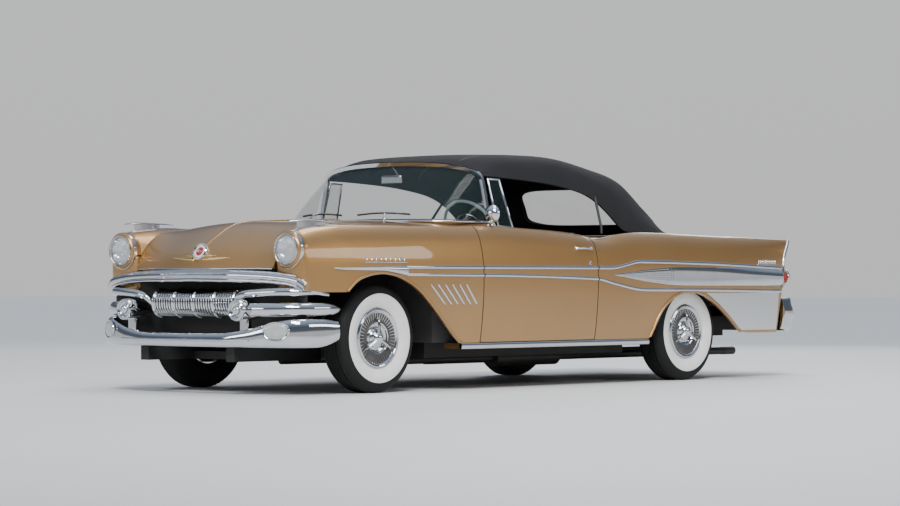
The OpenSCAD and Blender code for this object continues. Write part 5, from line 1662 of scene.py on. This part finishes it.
class CAR_OT_cabin(bpy.types.Operator):
    """Dashboard fittings, steering wheel, pedals and carpets"""
    bl_idname = "car.cabin"
    bl_label = "Cabin"

    def execute(self, context):
        dressed("dashboard", "dash_teal")
        dressed("steering_column", "dash_teal")
        dressed("floor_pan", "carpet")
        dressed("firewall", "carpet")
        loop = round_ring(0.0105, 16)
        rim = turned("rim", [(0.212 + r, h) for r, h in loop + loop[:1]], HUB, COLUMN, "steering_wheel",
                     "wheel_ivory", 96)
        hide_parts("steering_wheel")
        rim.name = "steering_rim"
        turned("steering_hub",
               [(0.0, -0.035), (0.026, -0.035), (0.040, -0.028), (0.042, -0.006), (0.034, 0.002),
                (0.0, 0.003)], HUB, COLUMN, "steering_wheel", "wheel_ivory", 48)
        turned("horn_cap",
               [(0.0, 0.000), (0.030, 0.000), (0.031, 0.006), (0.024, 0.011), (0.010, 0.014),
                (0.0, 0.0145)], HUB, COLUMN, "steering_wheel", "chrome", 48)
        loop = round_ring(0.004, 10)
        turned("horn_ring", [(0.118 + r, h - 0.006) for r, h in loop + loop[:1]], HUB, COLUMN,
               "steering_wheel", "chrome", 72)
        sideways = Vector((1, 0, 0))
        rise = COLUMN.cross(sideways)
        spokes, links = [], []
        for a in (15, 165, 195, 345):
            way = sideways * math.cos(math.radians(a)) + rise * math.sin(math.radians(a))
            if a in (15, 165):
                path = [HUB + way * r + COLUMN * h
                        for r, h in ((0.030, -0.014), (0.07, -0.012), (0.13, -0.008), (0.18, -0.003),
                                     (0.206, 0.0))]
                spokes.append(swept("spoke", path,
                                    [(-0.010, -0.004), (-0.008, 0.003), (0, 0.005), (0.008, 0.003),
                                     (0.010, -0.004), (0, -0.006)], "steering_wheel", "wheel_ivory",
                                    tuple(COLUMN)))
            path = [HUB + way * r + COLUMN * h
                    for r, h in ((0.028, 0.002), (0.07, -0.002), (0.118, -0.006))]
            links.append(swept("link", path, round_ring(0.0035, 8), "steering_wheel", "chrome",
                               tuple(COLUMN)))
        one("steering_spokes", spokes)
        one("horn_links", links)
        low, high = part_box("dashboard")
        block("dash_chrome_band", (low.x + 0.02, high.y + 0.001, 0.905),
              (high.x - 0.02, high.y + 0.006, 0.917), "body", "chrome", 0.002)
        block("dash_lower_band", (low.x + 0.02, -0.8630, 0.868), (high.x - 0.02, -0.8580, 0.876), "body",
              "chrome", 0.0015)
        block("gauge_housing", (0.205, high.y - 0.03, 0.925), (0.555, high.y + 0.022, 1.012), "body",
              "dash_teal", 0.018, 5)
        for k, x in enumerate((0.255, 0.38, 0.505)):
            r = 0.046 if k == 1 else 0.030
            spot = Vector((x, high.y + 0.021, 0.967))
            turned(f"gauge_{k}", [(0.0, 0.0), (r, 0.0), (r, 0.002), (r - 0.002, 0.003), (0.0, 0.003)],
                   spot, (0, 1, 0), "body", "gauge_face", 40)
            turned(f"gauge_ring_{k}",
                   [(r, 0.0), (r + 0.004, 0.0), (r + 0.004, 0.006), (r + 0.001, 0.008),
                    (r - 0.001, 0.005), (r, 0.0)], spot, (0, 1, 0), "body", "chrome", 40)
        block("radio_face", (-0.09, high.y - 0.004, 0.925), (0.09, high.y + 0.007, 0.975), "body",
              "chrome", 0.003)
        for k, x in enumerate((-0.11, 0.11, 0.16, -0.16)):
            turned(f"dash_knob_{k}",
                   [(0.0, 0.0), (0.010, 0.0), (0.011, 0.012), (0.008, 0.018), (0.0, 0.019)],
                   Vector((x, high.y, 0.945)), (0, 1, 0), "body", "chrome", 24)
        block("glove_box_lid", (-0.56, high.y - 0.002, 0.920), (-0.24, high.y + 0.004, 0.985), "body",
              "dash_teal", 0.003)
        pads = [block("brake", (0.30, -1.06, 0.42), (0.40, -1.045, 0.47), "body", "rubber", 0.005),
                block("throttle", (0.44, -1.08, 0.33), (0.49, -1.06, 0.46), "body", "rubber", 0.005)]
        one("pedals", pads)
        block("rear_shelf", (-0.55, 0.905, 0.80), (0.55, 1.30, 0.815), "body", "carpet", 0.004)
        return {"FINISHED"}


class CAR_OT_underside(bpy.types.Operator):
    """Finishes for the frame, engine, tank and pipes"""
    bl_idname = "car.underside"
    bl_label = "Underside"

    def execute(self, context):
        for node in ("frame_rails", "inner_fenders", "radiator", "fuel_tank"):
            dressed(node, "chassis_black")
        dressed("sills", "gold_paint")
        dressed("engine_block", "engine_blue")
        dressed("drive_line", "cast_iron")
        dressed("exhaust", "exhaust_steel")
        block("air_cleaner_base", (-0.05, -1.78, 0.888), (0.05, -1.68, 0.93), "body", "cast_iron", 0.01)
        turned("air_cleaner",
               [(0.0, 0.0), (0.15, 0.0), (0.165, 0.012), (0.165, 0.05), (0.15, 0.062), (0.04, 0.07),
                (0.02, 0.078), (0.0, 0.078)], (0, -1.73, 0.928), (0, 0, 1), "body", "engine_blue", 64)
        for way, word in SIDES:
            block(f"{word}_rocker_cover", (way * 0.2 - 0.06, -2.05, 0.885),
                  (way * 0.2 + 0.06, -1.45, 0.935), "body", "engine_blue", 0.02, 4)
        return {"FINISHED"}


SKY_STOPS = ((0.0, (0.50, 0.50, 0.50)), (0.49, (0.78, 0.78, 0.78)), (0.55, (0.80, 0.81, 0.82)),
             (0.575, (0.16, 0.17, 0.19)), (0.66, (0.12, 0.15, 0.20)), (0.80, (0.42, 0.52, 0.68)),
             (1.0, (0.72, 0.80, 0.92)))
SKY_STRENGTH = 0.85
# name, place, width, height, power
SOFT_LIGHTS = (
    ("key", (7.5, -7.0, 7.5), 3.0, 3.0, 420), ("over", (0.5, 0.5, 7.0), 7.0, 2.0, 240),
    ("side", (9.0, 3.0, 4.0), 7.0, 1.2, 130), ("front", (-3.0, -10.0, 3.6), 5.0, 1.4, 130),
    ("back", (-5.0, 9.0, 5.0), 7.0, 3.0, 260))
LIGHT_AIM = Vector((0, 0, 0.7))
SUN_STRENGTH = 2.4
SUN_WAY = (-0.42, 0.52, -0.74)
CAMERA_PLACE = (13.157, -15.099, 0.702)
CAMERA_WAY = (-0.6615, 0.7500, 0.0089)


class CAR_OT_stage(bpy.types.Operator):
    """Pale floor, soft lights and the camera"""
    bl_idname = "car.stage"
    bl_label = "Stage"

    def execute(self, context):
        scene = context.scene
        deselect()
        bpy.ops.mesh.primitive_plane_add(size=160, location=(0, 0, -0.0005))
        floor = context.object
        floor.name = "studio_floor"
        settle(floor)
        floor.data.materials.append(finish("studio_floor"))
        world = bpy.data.worlds.new("studio")
        scene.world = world
        sky = Nodes(world)
        height = sky.node(
            "ShaderNodeSeparateXYZ", None, {0: sky.node("ShaderNodeTexCoord", out="Generated")}, out="Z")
        colour = sky.node("ShaderNodeValToRGB", {"stops": SKY_STOPS}, {0: height * 0.5 + 0.5})
        glow = sky.node("ShaderNodeBackground", None, {"Color": colour, "Strength": SKY_STRENGTH})
        sky.node("ShaderNodeOutputWorld", None, {"Surface": glow}, out=None)

        def stand(data, place, way):
            """A light or camera at a place, looking one way."""
            obj = bpy.data.objects.new(data.name, data)
            scene.collection.objects.link(obj)
            obj.location = place
            obj.rotation_mode = "QUATERNION"
            obj.rotation_quaternion = Vector(way).to_track_quat("-Z", "Y")
            return obj

        for name, place, wide, tall, power in SOFT_LIGHTS:
            light = bpy.data.lights.new(name, "AREA")
            light.shape, light.size, light.size_y, light.energy = "RECTANGLE", wide, tall, power
            stand(light, place, LIGHT_AIM - Vector(place))
        sun = bpy.data.lights.new("sun", "SUN")
        sun.energy, sun.angle = SUN_STRENGTH, math.radians(14)
        stand(sun, (0, 0, 0), SUN_WAY)
        lens = bpy.data.cameras.new("camera")
        lens.lens, lens.sensor_width = context.scene.convertible.lens, 36
        lens.clip_start, lens.clip_end = 0.1, 400
        scene.camera = stand(lens, CAMERA_PLACE, CAMERA_WAY)
        return {"FINISHED"}


class ConvertibleSettings(bpy.types.PropertyGroup):
    """Sizes and colours that a user may change before building"""
    paint_deep: bpy.props.FloatVectorProperty(
        name="Paint, deep", description="Darker colour of the metallic paint", subtype="COLOR", size=3,
        min=0, max=1, default=(0.30, 0.155, 0.045))
    paint_bright: bpy.props.FloatVectorProperty(
        name="Paint, bright", description="Lighter colour of the metallic paint's flakes",
        subtype="COLOR", size=3, min=0, max=1, default=(0.56, 0.32, 0.115))
    cushion_swell: bpy.props.FloatProperty(
        name="Cushion swell", description="How far a seat pad may swell out of its cut shape",
        unit="LENGTH", min=0.002, max=0.03, default=0.010)
    lens: bpy.props.FloatProperty(
        name="Lens", description="Focal length of the camera in millimetres", min=20, max=300,
        default=117.6)


STEPS = (CAR_OT_panels, CAR_OT_arch_lips, CAR_OT_side_trim, CAR_OT_pods, CAR_OT_nose, CAR_OT_grille,
         CAR_OT_front_bumper, CAR_OT_tail, CAR_OT_windshield, CAR_OT_doors, CAR_OT_soft_top,
         CAR_OT_wheels, CAR_OT_seats, CAR_OT_cabin, CAR_OT_underside, CAR_OT_stage)


class CAR_PT_convertible(bpy.types.Panel):
    """Lists the build steps in the sidebar"""
    bl_idname = "CAR_PT_convertible"
    bl_label = "Convertible"
    bl_space_type = "VIEW_3D"
    bl_region_type = "UI"
    bl_category = "Convertible"

    def draw(self, context):
        settings = context.scene.convertible
        for name in ("paint_deep", "paint_bright", "cushion_swell", "lens"):
            self.layout.prop(settings, name)
        for step in STEPS:
            self.layout.operator(step.bl_idname)


CLASSES = (ConvertibleSettings, *STEPS, CAR_PT_convertible)


def register():
    for item in CLASSES:
        bpy.utils.register_class(item)
    bpy.types.Scene.convertible = bpy.props.PointerProperty(type=ConvertibleSettings)


def unregister():
    del bpy.types.Scene.convertible
    for item in reversed(CLASSES):
        bpy.utils.unregister_class(item)


def main():
    register()
    settings = bpy.context.scene.convertible
    RECIPES["gold_paint"] = paint_recipe(tuple(settings.paint_deep), tuple(settings.paint_bright))
    for step in STEPS:
        getattr(bpy.ops.car, step.bl_idname.split(".")[1])()


if __name__ == "__main__":
    main()
